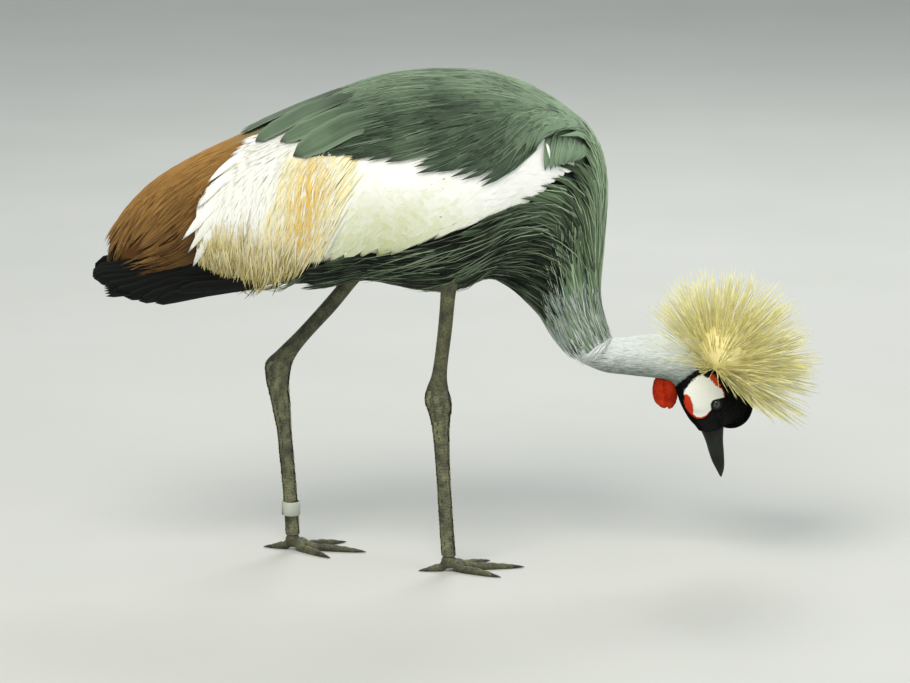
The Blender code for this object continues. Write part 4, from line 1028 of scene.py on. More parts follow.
def wing_blade(side, key):
    rows, shares = np.arange(0.3, 7.01, 0.1), np.linspace(0, 1, 33)
    width, count = len(shares), len(rows)
    low, high = (np.interp(rows, WING_EDGES[:, 0], WING_EDGES[:, k]) for k in (1, 2))
    s = np.repeat(rows, width)
    a = (low[:, None] + (high - low)[:, None] * shares).ravel() * side
    p = bird_point(s, a)
    normal = unit(np.cross(*steps_at(s, a)))
    middle = section_point(rows_at(OUTLINE, s), a)[0]
    normal *= np.sign((normal * (p - middle)).sum(1))[:, None]
    sink = np.where(s > 6, 0.004, 0.0012)[:, None]
    thick = 0.0035 * np.clip(np.minimum(s - 0.2, 1), 0.2, 1)[:, None]
    outer, total = p - normal * sink, width * count
    faces = quads(count, width)
    rim = [*range(0, total, width), *range(total - width + 1, total), *range(total - width - 1, 0, -width),
           *range(width - 2, 0, -1)]
    sides = [(i, j, j + total, i + total) for i, j in zip(rim, rim[1:] + rim[:1])]
    blade = mesh_piece("wing_blade_" + key, np.concatenate([outer, p - normal * (sink + thick)]),
                       [*faces, *(faces + total), *sides])
    return painted(blade, np.concatenate([ground_colour(outer, s), np.tile(colour("#1a120a"), (total, 1))]))


for side, key in SIDES:
    place(wing_blade(side, key), bird_skin, ("wing_" + key,))

# %% [markdown]
# ## Flight feathers and tail
# Below the chestnut feathers the black primaries of each wing hang in a fan, and the tail is a fan
# of broad black feathers between them. They are few and large, so each has its own place on a
# small curved sheet that stands for the fan.

# %% Primaries: x, then upper and lower edge by height in the side view and distance from the midline
PRIMARY_EDGES = metres("""-190 356 60 318 42, -245 360 52 304 32, -300 372 44 303 28,
    -336 358 36 300 24, -360 346 31 298 22, -383 341 25 300 20, -402 338 20 308 17, -413 330 17 317 15""")


def as_given(v, u):
    return u, v


def primary_sheet(side):
    v, u = grid(np.linspace(0, 1, 36), np.linspace(0, 1, 13))
    x, high, near, low, far = rows_at(PRIMARY_EDGES, v * (len(PRIMARY_EDGES) - 1)).T
    y = near + (far - near) * u ** 1.6
    z = high + (low - high) * u + SLOPE * y
    return sheet("primary_sheet", np.stack([x, y * side, z], 1), u, v, 13, side > 0)


def primaries(side, key):
    ends = metres("0.04 6.9, 0.16 6.95, 0.3 6.75, 0.44 6.35, 0.56 5.8, 0.68 5.3, 0.79 4.7, "
                  "0.88 4, 0.95 3.2, 0.8 2.4", 1)      # places across and along the fan
    tips = [(v / 7.0, u, 0.0012 * k) for k, (u, v) in enumerate(ends)]
    roots = [(max(v / 7.0 - 0.62, 0.02), 0.10 + u * 0.55, 0.0009 * k - 0.002) for k, (u, v) in enumerate(ends)]
    bends = [((r[0] + t[0]) / 2, r[1] * 0.4 + t[1] * 0.6, r[2] + 0.002) for r, t in zip(roots, tips)]
    lay("primaries_" + key, BROAD, black, *vane_rows(roots, bends, tips, 0.0165, 0.0014, as_given),
        ground=primary_sheet(side))
    tips = [(rng.uniform(0.05, 0.34), rng.uniform(0.75, 1.0), rng.uniform(0, 0.012)) for _ in range(26)]
    roots = [(v * 0.3 + 0.02, 0.45, 0.0) for v, u, lift in tips]
    bends = [(v * 0.7, u * 0.8, lift * 0.5) for v, u, lift in tips]
    lay("flank_wisps_" + key, STRAND, black, *vane_rows(roots, bends, tips, 0.0018, 0.0008, as_given),
        ground=primary_sheet(side))


for side, key in SIDES:
    primaries(side, key)

# %% Tail: x, z and half width along the midline
TAIL_LINE = metres("""-280 372 4, -300 346 10, -330 326 18, -372 318 28, -403 315 34""")


def midline_fan(line, sag):
    """A sheet along the midline from rows of x, z and half width; its sides hang by the sag."""
    v, u = grid(np.linspace(0, 1, 25), np.linspace(-1.1, 1.1, 15))
    x, z, half = rows_at(line, v * (len(line) - 1)).T
    points = np.stack([x, half * u, z - sag * np.abs(u) ** 2], 1)
    return sheet("midline_fan", points, *fan_chart(v, u), 15, True)


def fan_chart(v, u):
    return (u + 1.1) / 2.2, v


def tail_feathers():
    order, lift = np.linspace(-0.95, 0.95, 12), 0.001 * (np.arange(12) % 3)
    roots = [(0.02, w * 0.6, l - 0.002) for w, l in zip(order, lift)]
    bends = [(0.5, w * 0.9, l + 0.002) for w, l in zip(order, lift)]
    tips = [(0.985 - 0.05 * w * w, w, l) for w, l in zip(order, lift)]
    lay("tail_feathers", BROAD, black, *vane_rows(roots, bends, tips, 0.019, 0.0010, fan_chart),
        ground=midline_fan(TAIL_LINE, 0.004), nodes=("tail",))


tail_feathers()

# %% [markdown]
# ## Face
# The forehead and crown wear black velvet: short dense feathers that stand a little. Tufts of
# three to four millimetres give it a soft edge. They keep clear of the bare cheeks and eyes.

# %% Black velvet of the face
velvet = feather_material("black_velvet_feather", "#010101 #080a09 #0e110f #010101",
                          silk=0.08, edge_share=0.2, streaks=0.8, rough=0.9, gloss=0.12)
FACE_LIE = lie_of("""335 185 15 100, 320 160 70 70, 290 160 0 100, 250 190 -50 85, 260 240 -90 30,
    300 220 20 100""")


def velvet_tips():
    s, a = rows_of_tips(HEM + 4.5, LAST - 0.5, -180, 180, 0.0015, 0.0011)
    p = bird_point(s, a)
    flat = side_view(p)
    keep = ~(inside(flat, LOW_RED) | inside(flat, TOP_RED) | inside(flat, NAPE))
    for clear in ([0, 0], [0.0020, -0.0035], [-0.0015, 0.0010]):     # nor a tuft that lies across the patch
        keep &= ~inside(flat + clear, CHEEK_PATCH)
    for side, _ in SIDES:
        keep &= off_axis(p, side) > 0.0068
    return s[keep], a[keep]


tract("velvet_feathers", TUFT, velvet, velvet_tips(), FACE_LIE, 0.0046, 0.0014, 0.0006,
      (-0.0004, 0.0010, 0.0015), map_span=(HEM + 6, LAST), spread=0.25, ragged=0.3)


# %% The cushion over the bill
def ball(name, centre, radius, around=48, rows=32):
    """A closed ball, or an ellipsoid where the radius has three parts."""
    tilt, turn = np.linspace(0, math.pi, rows + 1)[1:-1], np.arange(around) / around * 2 * math.pi
    t, u = grid(tilt, turn)
    points = np.stack([np.sin(t) * np.cos(u), np.cos(t), np.sin(t) * np.sin(u)], 1)
    points = np.concatenate([points, [[0, 1, 0], [0, -1, 0]]]) * radius + centre
    top, last = (rows - 1) * around, (rows - 2) * around
    faces = tube_faces(rows - 1, around, False) + [(k, (k + 1) % around, top) for k in range(around)]
    faces += [(last + (k + 1) % around, last + k, top + 1) for k in range(around)]
    return mesh_piece(name, points, faces)


CUSHION, CUSHION_SIZE = np.array([0.3068, 0, 0.1782]), np.array([0.0232, 0.0158, 0.0238])


def cushion_chart(fall, turn):
    return (turn + 1.45) / 2.9, (fall + 0.3) / 2.5


def forehead_cushion():
    """Velvet hangs over the root of the bill in a round cushion, past the last rung of the ladder."""
    f, t = grid(np.linspace(-0.3, 2.2, 40), np.linspace(-1.45, 1.45, 33))     # down from the front, sideways
    ahead = np.stack([np.cos(f), 0 * f, -np.sin(f)], 1)
    p = CUSHION + CUSHION_SIZE * (ahead * np.cos(t)[:, None] + np.array([0, 1, 0]) * np.sin(t)[:, None])
    u, v = cushion_chart(rng.uniform(0.10, 1.95, 900), rng.uniform(-1.25, 1.25, 900))
    tips = np.stack([v, u, np.full(900, 0.0012)], 1)
    roots = np.stack([v + 0.09 * np.where(v < 0.9, 1, 0.3), u, np.zeros(900)], 1)
    bends = np.stack([(roots[:, 0] + v) / 2, u, np.full(900, 0.0010)], 1)
    lay("cushion_velvet", TUFT, velvet, *vane_rows(roots, bends, tips, 0.0015, 0.0006, as_given),
        ground=sheet("cushion_ground", p, *cushion_chart(f, t), 33))
    place(ball("cushion_core", CUSHION, CUSHION_SIZE * 0.985), velvet)


forehead_cushion()

# %% [markdown]
# ## Eyes and lids
# The eye is a wet ball: a black pupil, a pale grey-green iris with fine rays and a dark rim, under
# a clear coat. It can be one ball whose material measures the distance from its own axis. The lids are
# a low wrinkled ring of black skin, thicker above and below than at the corners.

# %% Eyes
def eye_material(name, side):
    centre, out = eye_axis(side)
    made, tree, shader, where = new_material(name)
    off = add(tree, "VectorMath SUBTRACT", [where, tuple(centre + out * EYE_RADIUS)])
    away = add(tree, "VectorMath LENGTH", [off]).outputs["Value"]
    grain = add(tree, "TexNoise", [where, 900.0])
    away = add(tree, "Math MULTIPLY_ADD", [grain, 0.0006, away])
    rings = add(tree, "ValToRGB", [add(tree, "MapRange", [away, 0.0, 0.006])])
    steps = ((0.0, "#010201"), (0.40, "#010201"), (0.46, "#18231a"), (0.60, "#3c4e3b"), (0.74, "#1e2a1e"),
             (0.84, "#050705"), (1.0, "#040504"))
    ends = rings.color_ramp.elements
    while len(ends) < len(steps):
        ends.new(0.5)
    for end, (at, hex_value) in zip(ends, steps):
        end.position, end.color = at, colour(hex_value)
    wire(tree, shader, {"Base Color": rings.outputs[0], "Roughness": 0.25, "IOR": 1.376,     # cornea
                        "Coat Weight": 1.0, "Coat Roughness": 0.03})
    return made


def lid(side, key):
    """A wrinkled rim round the eye, thicker above and below than at the corners."""
    centre, out = eye_axis(side)
    first = unit(np.cross(out, [0, 0, 1]))
    second = np.cross(out, first)
    around, ring, points = 72, 14, []
    for k in range(around):
        turn = 2 * math.pi * k / around
        spoke, high = first * math.cos(turn) + second * math.sin(turn), abs(math.sin(turn))
        thick = 0.00125 * (0.8 + 0.3 * high) * (1 + 0.07 * math.sin(17 * turn))
        for j in range(ring):
            roll = 2 * math.pi * j / ring
            points.append(centre + out * (0.0046 + thick * 0.9 * math.sin(roll))
                          + spoke * (0.0054 * (1 - 0.10 * high ** 2) + thick * 1.3 * math.cos(roll)))
    return mesh_piece("eyelid_" + key, points, quads(around + 1, ring, True) % (around * ring))


def plain_material(name, dark, light, rough, grain_scale, relief_depth, bumps=0.0, **sockets):
    """A surface whose tone drifts between two colours over fine grain: scale in cells a metre."""
    made, tree, shader, where = new_material(name)
    cloud = add(tree, "TexNoise", [where, grain_scale * 0.12, 5.0])
    relief = grain = add(tree, "TexNoise", [where, grain_scale, 3.0])
    tone = add(tree, "Mix RGBA", [add(tree, "MapRange", [cloud, 0.3, 0.7]), colour(dark), colour(light)])
    if bumps:
        cells = add(tree, "TexVoronoi", [where, bumps])
        relief = add(tree, "Math MULTIPLY_ADD", [cells, -1.5, grain])
        gaps = add(tree, "MapRange", [cells, 0.35, 0.75, 0.0, 0.6])
        tone = add(tree, "Mix RGBA", [gaps, tone, colour(dark)])
    bump = add(tree, "Bump", {"Strength": 0.6, "Distance": relief_depth, "Height": relief})
    wire(tree, shader, {"Base Color": tone, "Normal": bump, "Roughness": rough,
                        **{key.replace("_", " "): value for key, value in sockets.items()}})
    return made


lid_skin = plain_material("black_lid_skin", "#020302", "#0b0e0c", 0.5, 1500.0, 0.0002, Specular_IOR_Level=0.3)
for side, key in SIDES:
    place(ball("eye_ball_" + key, eye_axis(side)[0], EYE_RADIUS),
          eye_material("wet_eye_" + key, side), ("eye_" + key,))
    place(lid(side, key), lid_skin)

# %% [markdown]
# ## Bill
# The bill is horn over bone: two long half cones that meet on the mouth line. It could be carved
# from a block, but rungs in the side view give both halves and the gape between them. The nostril
# is a slit in a shallow groove on each side of the upper half.

# %% Bill: ridge, mouth line and keel as x z, and half width
BILL = metres("""2990 1540 2830 1513 2735 1500 98, 2986 1400 2868 1390 2785 1385 72,
    2995 1265 2898 1262 2822 1262 56, 3002 1150 2926 1148 2862 1148 44,
    2998 1052 2948 1048 2912 1050 32, 2972 965 2962 968 2950 978 14""", TENTHS)


def dent(z, turn, middle, reach, width):
    """A smooth hollow in each side of the upper half, at the nostril's turn."""
    return math.exp(-((z - middle) / reach) ** 4) * math.exp(-((abs(turn) - 0.98) / width) ** 2)


def bill_half(name, upper):
    steps, around, points = 60, 24, []
    rows = rows_at(BILL, np.linspace(-0.25, 5, steps))
    rows[0] = rows[0] + (rows[0] - rows[1])
    ridge, mouth = rows[:, [0, 1] if upper else [4, 5]], rows[:, [2, 3]]
    away = unit(ridge - mouth)
    base = mouth - away * 0.00012
    height = np.linalg.norm(ridge - base, axis=1)
    width = rows[:, 6] * (1.0 if upper else 0.92)
    for i in range(steps):
        for k in range(around + 1):
            turn = math.pi * (k / around - 0.5)
            x, z = base[i] + away[i] * (height[i] * math.cos(turn))
            wide = width[i] * math.sin(turn)
            if upper:
                slit, groove = dent(z, turn, 0.1375, 0.0055, 0.16), dent(z, turn, 0.134, 0.012, 0.34)
                wide *= 1 - 0.26 * slit - 0.07 * groove
            points.append((x, wide, z))
    row = around + 1
    flat = [(i * row, (i + 1) * row, (i + 1) * row + around, i * row + around) for i in range(steps - 1)]
    faces = [*quads(steps, row), *flat, range(row), range((steps - 1) * row, steps * row)]
    obj = mesh_piece(name, points, faces)
    obj.data.set_sharp_from_angle(angle=math.radians(50))
    return obj


def horn_and_highlight_material():
    """Dark horn: black where the face's velvet ends; towards the tip it drifts to green-grey patches, partly
    wear and partly a painted highlight.
    """
    # the lighter green-grey tone is partly wear and partly a painted highlight
    made = plain_material("bill_horn", "#050905", "#232f23", 0.42, 260.0, 0.00012, Specular_IOR_Level=0.3)
    tree = made.node_tree
    shader = tree.nodes["Principled BSDF"]
    where = add(tree, "TexCoord").outputs["Object"]
    height = add(tree, "SeparateXYZ", [where]).outputs["Z"]
    up = add(tree, "Math MULTIPLY_ADD", [add(tree, "TexNoise", [where, 120.0, 2.0]), 0.012, height])
    root = add(tree, "MapRange", [up, 0.138, 0.156])
    tone = shader.inputs["Base Color"].links[0].from_socket
    wire(tree, shader, {"Base Color": add(tree, "Mix RGBA", [root, tone, colour("#010201")])})
    return made


horn = horn_and_highlight_material()
for half in ("upper", "lower"):
    place(bill_half(f"bill_{half}_horn", half == "upper"), horn, ("bill_" + half,))

# %% [markdown]
# ## Wattle
# The throat pouch is bare red skin in two soft lobes. Metaballs or sculpting would do; here a few
# balls are fused by a voxel remesh, smoothed where they join, and wrinkled by a displacement.

# %% Wattle
def fused(name, parts, voxel, smooth):
    """One skin over several closed pieces."""
    work, mesh = bmesh.new(), bpy.data.meshes.new(name)
    for part in parts:
        work.from_mesh(part.data)
        bpy.data.objects.remove(part)
    work.to_mesh(mesh)
    work.free()
    obj = linked(name, mesh)
    step, calm = obj.modifiers.new("fuse", "REMESH"), obj.modifiers.new("calm", "SMOOTH")
    step.mode, step.voxel_size, step.use_smooth_shade = "VOXEL", voxel, True
    calm.factor, calm.iterations = 0.5, smooth
    return applied(obj)


def wattle():
    lobes = [ball("lobe", *row.reshape(2, 3)) for row in metres(
        "2368 0 1935 96 60 180, 2265 0 1975 88 56 178, 2330 0 2080 130 60 60, 2322 0 1880 100 56 118", TENTHS)]
    obj = fused("throat_wattle", lobes, 0.0006, 3)
    where, normal = (np.array([getattr(v, key) for v in obj.data.vertices]) for key in ("co", "normal"))
    x, _, z = where.T
    folds = 0.00022 * np.sin(x * 2400 + 3 * np.sin(z * 500)) * np.sin(z * 900)
    folds -= 0.0016 * np.exp(-((x - 0.2330 + 0.10 * (z - 0.19)) / 0.0011) ** 2)     # the crease
    obj.data.vertices.foreach_set("co", (where + normal * folds[:, None]).ravel())
    return obj


wattle_skin = plain_material("red_wattle_skin", "#8a1600", "#d63a02", 0.6, 700.0, 0.0004, bumps=900.0,
                             Subsurface_Weight=0.05, Subsurface_Scale=0.002, Specular_IOR_Level=0.15)
place(wattle(), wattle_skin, ("wattle",))

# %% [markdown]
# ## Crest
# The crown is a dome of stiff bristle feathers, each a twisted flat shaft, pale straw with darker
# turns. They leave one spot at the back of the crown. Hair would be quick but is lost in an export,
# so a node tree stands one tapered bristle on every root, aims it and sets its length.

# %% Bristle form and tree
CREST_ORIGIN = np.array([0.2925, 0, 0.2235])
CREST_FOCUS = np.array([0.2895, 0, 0.2262])      # the spot on the crown where the bristles meet
CREST_AXIS, CREST_LENGTH = math.radians(50.0), 0.118


def bristle_form():
    heights, points = (0, 0.12, 0.3, 0.5, 0.7, 0.87), []
    for thick, t in zip((0.5, 0.7, 0.9, 1.0, 1.0, 0.8), heights):
        for k in range(3):
            turn = 2 * math.pi * k / 3 + t * 5
            points.append((thick * math.cos(turn), thick * math.sin(turn), t))
    form = mesh_piece("bristle_form", points + [(0, 0, 1)], spike_faces(len(heights), 3))
    height = form.data.attributes.new("height", "FLOAT", "POINT")
    height.data.foreach_set("value", [z for _, _, z in points] + [1])
    return form


def fan_tree():
    carried = {"aim": "FLOAT_VECTOR", "lean": "FLOAT_VECTOR", "reach": "FLOAT", "place": "FLOAT_VECTOR",
               "height": "FLOAT"}
    inputs = {"Form": "Object", "Thickness": "Float", "Bow": "Float", "Material": "Material"}
    tree, given, stored = open_tree("fan_bristles", inputs, carried)
    form = add(tree, "GeometryNodeObjectInfo", {"Object": given["Form"]}).outputs["Geometry"]
    aim = add(tree, "FunctionNodeAlignRotationToVector", {"Vector": stored["aim"]}, axis="Z")
    scale = add(tree, "CombineXYZ", [given["Thickness"], given["Thickness"], stored["reach"]])
    spots = add(tree, "GeometryNodeMeshToPoints", {"Mesh": given["Geometry"]})
    laid = add(tree, "GeometryNodeInstanceOnPoints",
               {"Points": spots, "Instance": form, "Rotation": aim, "Scale": scale})
    laid = add(tree, "GeometryNodeRealizeInstances", {"Geometry": laid})
    height = stored["height"]
    sag = add(tree, "Math MULTIPLY", [add(tree, "Math MULTIPLY", [height, height]), given["Bow"]])
    lean = add(tree, "VectorMath SCALE", {0: stored["lean"], "Scale": sag})
    tint = add(tree, "SeparateXYZ", [stored["place"]]).outputs["Z"]
    marks = add(tree, "CombineXYZ", [0.0, height, tint])
    up = add(tree, "VectorMath SCALE", {0: add(tree, "CombineXYZ", [0.0, height, 0.0]), "Scale": 0.003})
    patch = add(tree, "VectorMath ADD", [stored["place"], up])
    return close_tree(tree, laid, marks, patch, {"Offset": lean}, given, carried)


# %% Crest bristles
def fan_limit(turn):
    """How far the crest opens from its axis, by the turn round it: widest over the neck's sides."""
    wide, rear, fore = np.abs(np.sin(turn)), np.clip(-np.cos(turn), 0, 1), np.clip(np.cos(turn), 0, 1)
    return np.radians(84 + 17 * wide + 5 * fore + 14 * rear * wide)


def fan_ray(turn, opening):
    axis = np.array([math.cos(CREST_AXIS), 0, math.sin(CREST_AXIS)])
    fore = np.array([math.sin(CREST_AXIS), 0, -math.cos(CREST_AXIS)])
    across = fore * np.cos(turn)[:, None] + np.array([0, 1, 0]) * np.sin(turn)[:, None]
    return axis * np.cos(opening)[:, None] + across * np.sin(opening)[:, None]


def crest_rays(count, first, last):
    """Roots, tips and openings of bristles spread evenly over the dome by the golden angle."""
    k = np.arange(count) + rng.uniform(-0.3, 0.3, count)
    turn = k * math.radians(137.508)
    limit = fan_limit(turn)
    opening = np.arccos(1 - (1 - np.cos(limit)) * np.clip((k + 0.5) / count, 0, 1)) + rng.normal(0, 0.03, count)
    aim = fan_ray(turn, opening)
    bundle = aim[rng.integers(0, count, count // 14)]      # each bristle leans towards the nearest of a few
    nearest = bundle[np.argmax(aim @ bundle.T, axis=1)]
    aim = unit(aim + (nearest - aim) * rng.uniform(0.0, 0.5, count)[:, None])
    fall = np.degrees(np.arctan2(-aim[:, 2], aim[:, 0]))
    steep = np.clip((fall - 37) / 10, 0, 1) * (aim[:, 0] > 0)       # short over the forehead
    tips = CREST_ORIGIN + aim * (CREST_LENGTH * (1 - 0.50 * steep) * rng.uniform(first, last, count))[:, None]
    roots = CREST_FOCUS + aim * [0.010, 0.020, 0.008]
    keep = rng.random(count) > 0.62 * steep
    return roots[keep], tips[keep], (opening / limit)[keep]


def clear_of_head(roots, tips):
    """Keeps the bristles that don't run into the head or hang across an eye or a cheek."""
    steps = roots[:, None] + (tips - roots)[:, None] * np.linspace(0.1, 1, 16)[:, None]
    flat = side_view(steps.reshape(-1, 3))
    crosses = inside(flat, CHEEK_PATCH) | (np.linalg.norm(flat - side_view(EYE[None]), axis=1) < 0.0085)
    keep = ~crosses.reshape(len(roots), -1).any(1)
    for i, (root, tip) in enumerate(zip(roots, tips)):
        start, away = Vector(root), Vector(tip) - Vector(root)
        ahead = away.normalized()
        keep[i] &= not skin.ray_cast(start + ahead * 0.020, ahead, distance=away.length)[0]
    return keep


def crest_piece(name, count, first, last, thickness, nodes=()):
    rows = crest_rays(count, first, last)
    keep = clear_of_head(*rows[:2])
    roots, tips, opening = (r[keep] for r in rows)
    aim, reach = unit(tips - roots), np.linalg.norm(tips - roots, axis=1)
    lean = unit(np.cross(aim, rng.normal(size=aim.shape)))
    mesh = bpy.data.meshes.new(name)
    mesh.from_pydata(roots.tolist(), [], [])
    mesh.attributes.new("reach", "FLOAT", "POINT").data.foreach_set("value", reach.astype(np.float32))
    turn = np.arctan2(tips[:, 1] - roots[:, 1], tips[:, 0] - roots[:, 0]) / (2 * math.pi) + 0.5
    spot = np.stack([0.01 + 0.97 * turn, 0.01 + 0.97 * np.clip(opening, 0, 1), rng.random(len(roots))], 1)
    place(grown(name, mesh, {"aim": aim, "lean": lean, "place": spot}, fan,
                {"Form": bristle, "Thickness": thickness, "Bow": 0.0025, "Material": crest_straw}),
          None, nodes)


def crest_material():
    """Keratin bristle: pale straw with a darker brown-gold band at each turn of its twist, paler near the root
    as painted light for the crowded middle of the crest.
    """
    made, tree, shader, _ = new_material("straw_crest_bristle")
    vane = add(tree, "Attribute", attribute_name="vane").outputs["Vector"]
    parts = add(tree, "SeparateXYZ", [vane]).outputs
    tone = add(tree, "Mix RGBA", [parts["Z"], colour("#fff496"), colour("#fffbc6")])
    phase = add(tree, "Math MULTIPLY_ADD", [parts["Y"], 70.0, add(tree, "Math MULTIPLY", [parts["Z"], 40.0])])
    turns = add(tree, "MapRange", [add(tree, "Math SINE", [phase]), 0.1, 0.9, 0.0, 0.15])
    tone = add(tree, "Mix RGBA", [turns, tone, colour("#e6c658")])
    # paler towards the root: painted light that keeps the crowded middle of the crest bright
    depth = add(tree, "MapRange", [parts["Y"], 0.0, 0.45, 1.0, 0.0])
    tone = add(tree, "Mix RGBA", [depth, tone, colour("#fffbd2")])
    wire(tree, shader, {"Base Color": tone, "Roughness": 0.5,
                        "Sheen Weight": 1.0, "Sheen Tint": colour("#fff3a0"), "Subsurface Weight": 0.5,
                        "Subsurface Radius": (1.0, 0.9, 0.4), "Subsurface Scale": 0.0016})
    return made


bristle, fan, crest_straw = bristle_form(), fan_tree(), crest_material()
bpy.context.view_layer.update()
crest_piece("crest_bristles", 1150, 0.86, 1.04, 0.00052, ("crest",))
crest_piece("crest_under_bristles", 420, 0.50, 0.85, 0.00045)
bpy.data.objects.remove(bristle)


# %% The pad in the middle
def crest_pad():
    """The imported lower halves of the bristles, as one pale mushroom in the middle of the crest."""
    around, rings = 96, 28
    share, turn = grid(np.linspace(0.02, 1, rings), np.arange(around) / around * 2 * math.pi)
    aim = fan_ray(turn, (fan_limit(turn) - 0.45 * np.clip(np.cos(turn), 0, 1)) * share)
    reach = 0.012 + 0.036 * (1 - share ** 5)
    points = (CREST_FOCUS + aim * reach[:, None] * [1, 1.2, 1]).tolist()
    inner, top = CREST_FOCUS + [0.003, 0, 0.004], CREST_FOCUS + fan_ray(np.zeros(1), np.zeros(1))[0] * 0.048
    faces, last = tube_faces(rings, around, False), (rings - 1) * around
    faces += [(k, (k + 1) % around, len(points)) for k in range(around)]
    faces += [(last + k, last + (k + 1) % around, len(points) + 1) for k in range(around)]
    return mesh_piece("crest_pad", points + [top, inner], faces)


def pad_material():
    """Straw down with streaks that leave the middle of the crest, as the bristles do."""
    made = plain_material("crest_pad_down", "#fff2b4", "#fffce0", 0.8, 900.0, 0.0004, Specular_IOR_Level=0.1)
    tree = made.node_tree
    off = add(tree, "VectorMath SUBTRACT", [add(tree, "TexCoord").outputs["Object"], tuple(CREST_FOCUS)])
    lines = add(tree, "TexNoise", [add(tree, "VectorMath NORMALIZE", [off]), 46.0, 2.0])
    share = add(tree, "MapRange", [lines, 0.36, 0.56])
    wire(tree, tree.nodes["Principled BSDF"], {
        "Base Color": add(tree, "Mix RGBA", [share, colour("#f6e692"), colour("#fdf4bc")]),
        "Normal": add(tree, "Bump", {"Strength": 0.6, "Distance": 0.0010, "Height": lines})})
    return made


place(crest_pad(), pad_material())

# %% [markdown]
# ## Legs and feet
# A crane's leg is scaly skin over bone. Above the heel joint it is fine scales, in front of the
# foot bone there is one row of broad overlapping scutes, and each toe has the same on top. The
# legs are lofts on their own rungs, the feet are fused from toes by a voxel remesh, and
# the scutes are short broad vanes laid by the same node tree as the feathers.

# %% Leg rungs: front x, z, back x, z, half width, distance from the midline
NEAR_LEG = np.insert(metres("""40 3500 -260 3500 120 430, -40 3230 -220 3230 88 450,
    -90 2770 -250 2770 68 470, -145 2300 -310 2300 66 480, -130 2090 -375 2100 85 480,
    -102 1960 -395 1970 100 480, -100 1850 -370 1870 95 480, -120 1680 -322 1710 76 480,
    -122 1400 -286 1400 60 490, -112 1050 -260 1050 56 500, -85 600 -235 600 56 520,
    -62 300 -215 300 62 530, -52 180 -205 180 76 530""", TENTHS), 5, 2.0, 1)
FAR_LEG = np.insert(metres("""-880 3440 -1040 3560 120 430, -1160 3120 -1325 3180 88 450,
    -1410 2810 -1590 2860 68 460, -1680 2515 -1860 2560 66 460, -1830 2330 -2080 2340 80 460,
    -1910 2190 -2205 2215 98 460, -1938 2090 -2220 2090 100 460, -1955 1920 -2200 1950 88 460,
    -1942 1720 -2155 1740 70 460, -1932 1440 -2095 1440 59 460, -1905 1090 -2060 1090 56 460,
    -1878 740 -2030 740 56 460, -1855 400 -2008 400 60 460, -1845 180 -1998 180 76 460""", TENTHS), 5, 2.0, 1)
LEGS = {"R": (NEAR_LEG, -1, 5), "L": (FAR_LEG, 1, 6)}       # rungs, side and the heel joint's row
TOES = (("middle", -4.0, 0.074, 0.0125), ("inner", -38.0, 0.052, 0.0115),
        ("outer", 34.0, 0.057, 0.0110), ("hind", 176.0, 0.024, 0.0105))     # turn, length and length of claw
TOE_RADIUS, ANKLE_HEIGHT, FOOT_YAW = 0.0050, 0.0150, {"R": 4.0, "L": -8.0}


def leg_point(key, s, degrees):
    rows = rows_at(LEGS[key][0], s)
    p = section_point(rows, degrees)[1]
    p[:, 1] += rows[:, 6] * LEGS[key][1]
    return p


def leg_tube(name, key, rows, step):
    turns = np.arange(0, 360, step)
    return mesh_piece(name, leg_point(key, *grid(rows, turns)), tube_faces(len(rows), len(turns)))


# %% Feet
def toe_path(key, angle, length, steps=34):
    """Points, radii and heading of a toe: it leaves the ankle, lies on the floor and swells at each pad."""
    table, side, _ = LEGS[key]
    front, _, back, _, _, _, off = table[-1]
    heading = math.radians(FOOT_YAW[key] + angle * side)
    out = np.array([math.cos(heading), math.sin(heading), 0])
    t = np.linspace(0, 1, steps)
    swell = np.interp(t, (0, .2, .38, .6, .8, 1), (1.10, 1.12, 0.95, 0.98, 0.84, 0.62)) * (1 - 0.14 * t)
    radius = TOE_RADIUS * (swell * (1 + 0.045 * np.cos(t * length / 0.0125 * 2 * math.pi)))
    flat = radius * np.where(t > 0.3, 0.80, 1.0)
    height = flat + (ANKLE_HEIGHT * 0.8 - flat) * np.clip(1 - t / 0.34, 0, 1) ** 1.4
    path = np.array([(front + back) / 2, off * side, 0]) + out * (length * t)[:, None]
    return path + np.array([0, 0, 1]) * height[:, None], radius, out


def sweep_tube(name, path, radii, width=20):
    ahead = unit(np.gradient(path, axis=0))
    across = unit(np.cross(ahead, [0, 0, 1]))
    up = np.cross(across, ahead)
    turn = np.arange(width) / width * 2 * math.pi
    ring = across[:, None] * np.cos(turn)[None, :, None] + up[:, None] * np.sin(turn)[None, :, None]
    points = path[:, None] + ring * np.asarray(radii)[:, None, None]
    points[..., 2] = np.maximum(points[..., 2], 0.0)
    return mesh_piece(name, points.reshape(-1, 3), tube_faces(len(path), width))


def foot(key):
    table = LEGS[key][0]
    parts = [sweep_tube("toe", *toe_path(key, angle, length)[:2]) for _, angle, length, _ in TOES]
    parts.append(leg_tube("shank", key, np.linspace(len(table) - 2.2, len(table) - 1, 12), 15.0))
    ankle = toe_path(key, 0, 0)[0][0] * [1, 1, 0] + [0, 0, 0.0112]
    parts.append(ball("knuckle", ankle, 0.0085, 24, 14))
    obj = fused("foot_skin_" + key, parts, 0.0007, 4)
    where = np.array([v.co for v in obj.data.vertices])
    where[:, 2] = np.maximum(where[:, 2], 0.0)
    obj.data.vertices.foreach_set("co", where.ravel())
    return obj


def claw(key, name, angle, length, reach):
    path, radii, out = toe_path(key, angle, length)
    t, start = np.linspace(-0.12, 1, 16), path[-1]
    drop = (start[2] - 0.0012) * np.clip(t, 0, 1) ** 2
    points = start + out * (reach * t)[:, None] - np.array([0, 0, 1]) * drop[:, None]
    sizes = radii[-1] * np.interp(t, (-0.12, 0, 0.6, 1), (0.7, 0.84, 0.5, 0.12))
    return sweep_tube(f"claw_horn_{key}_{name}", points, sizes, 14)


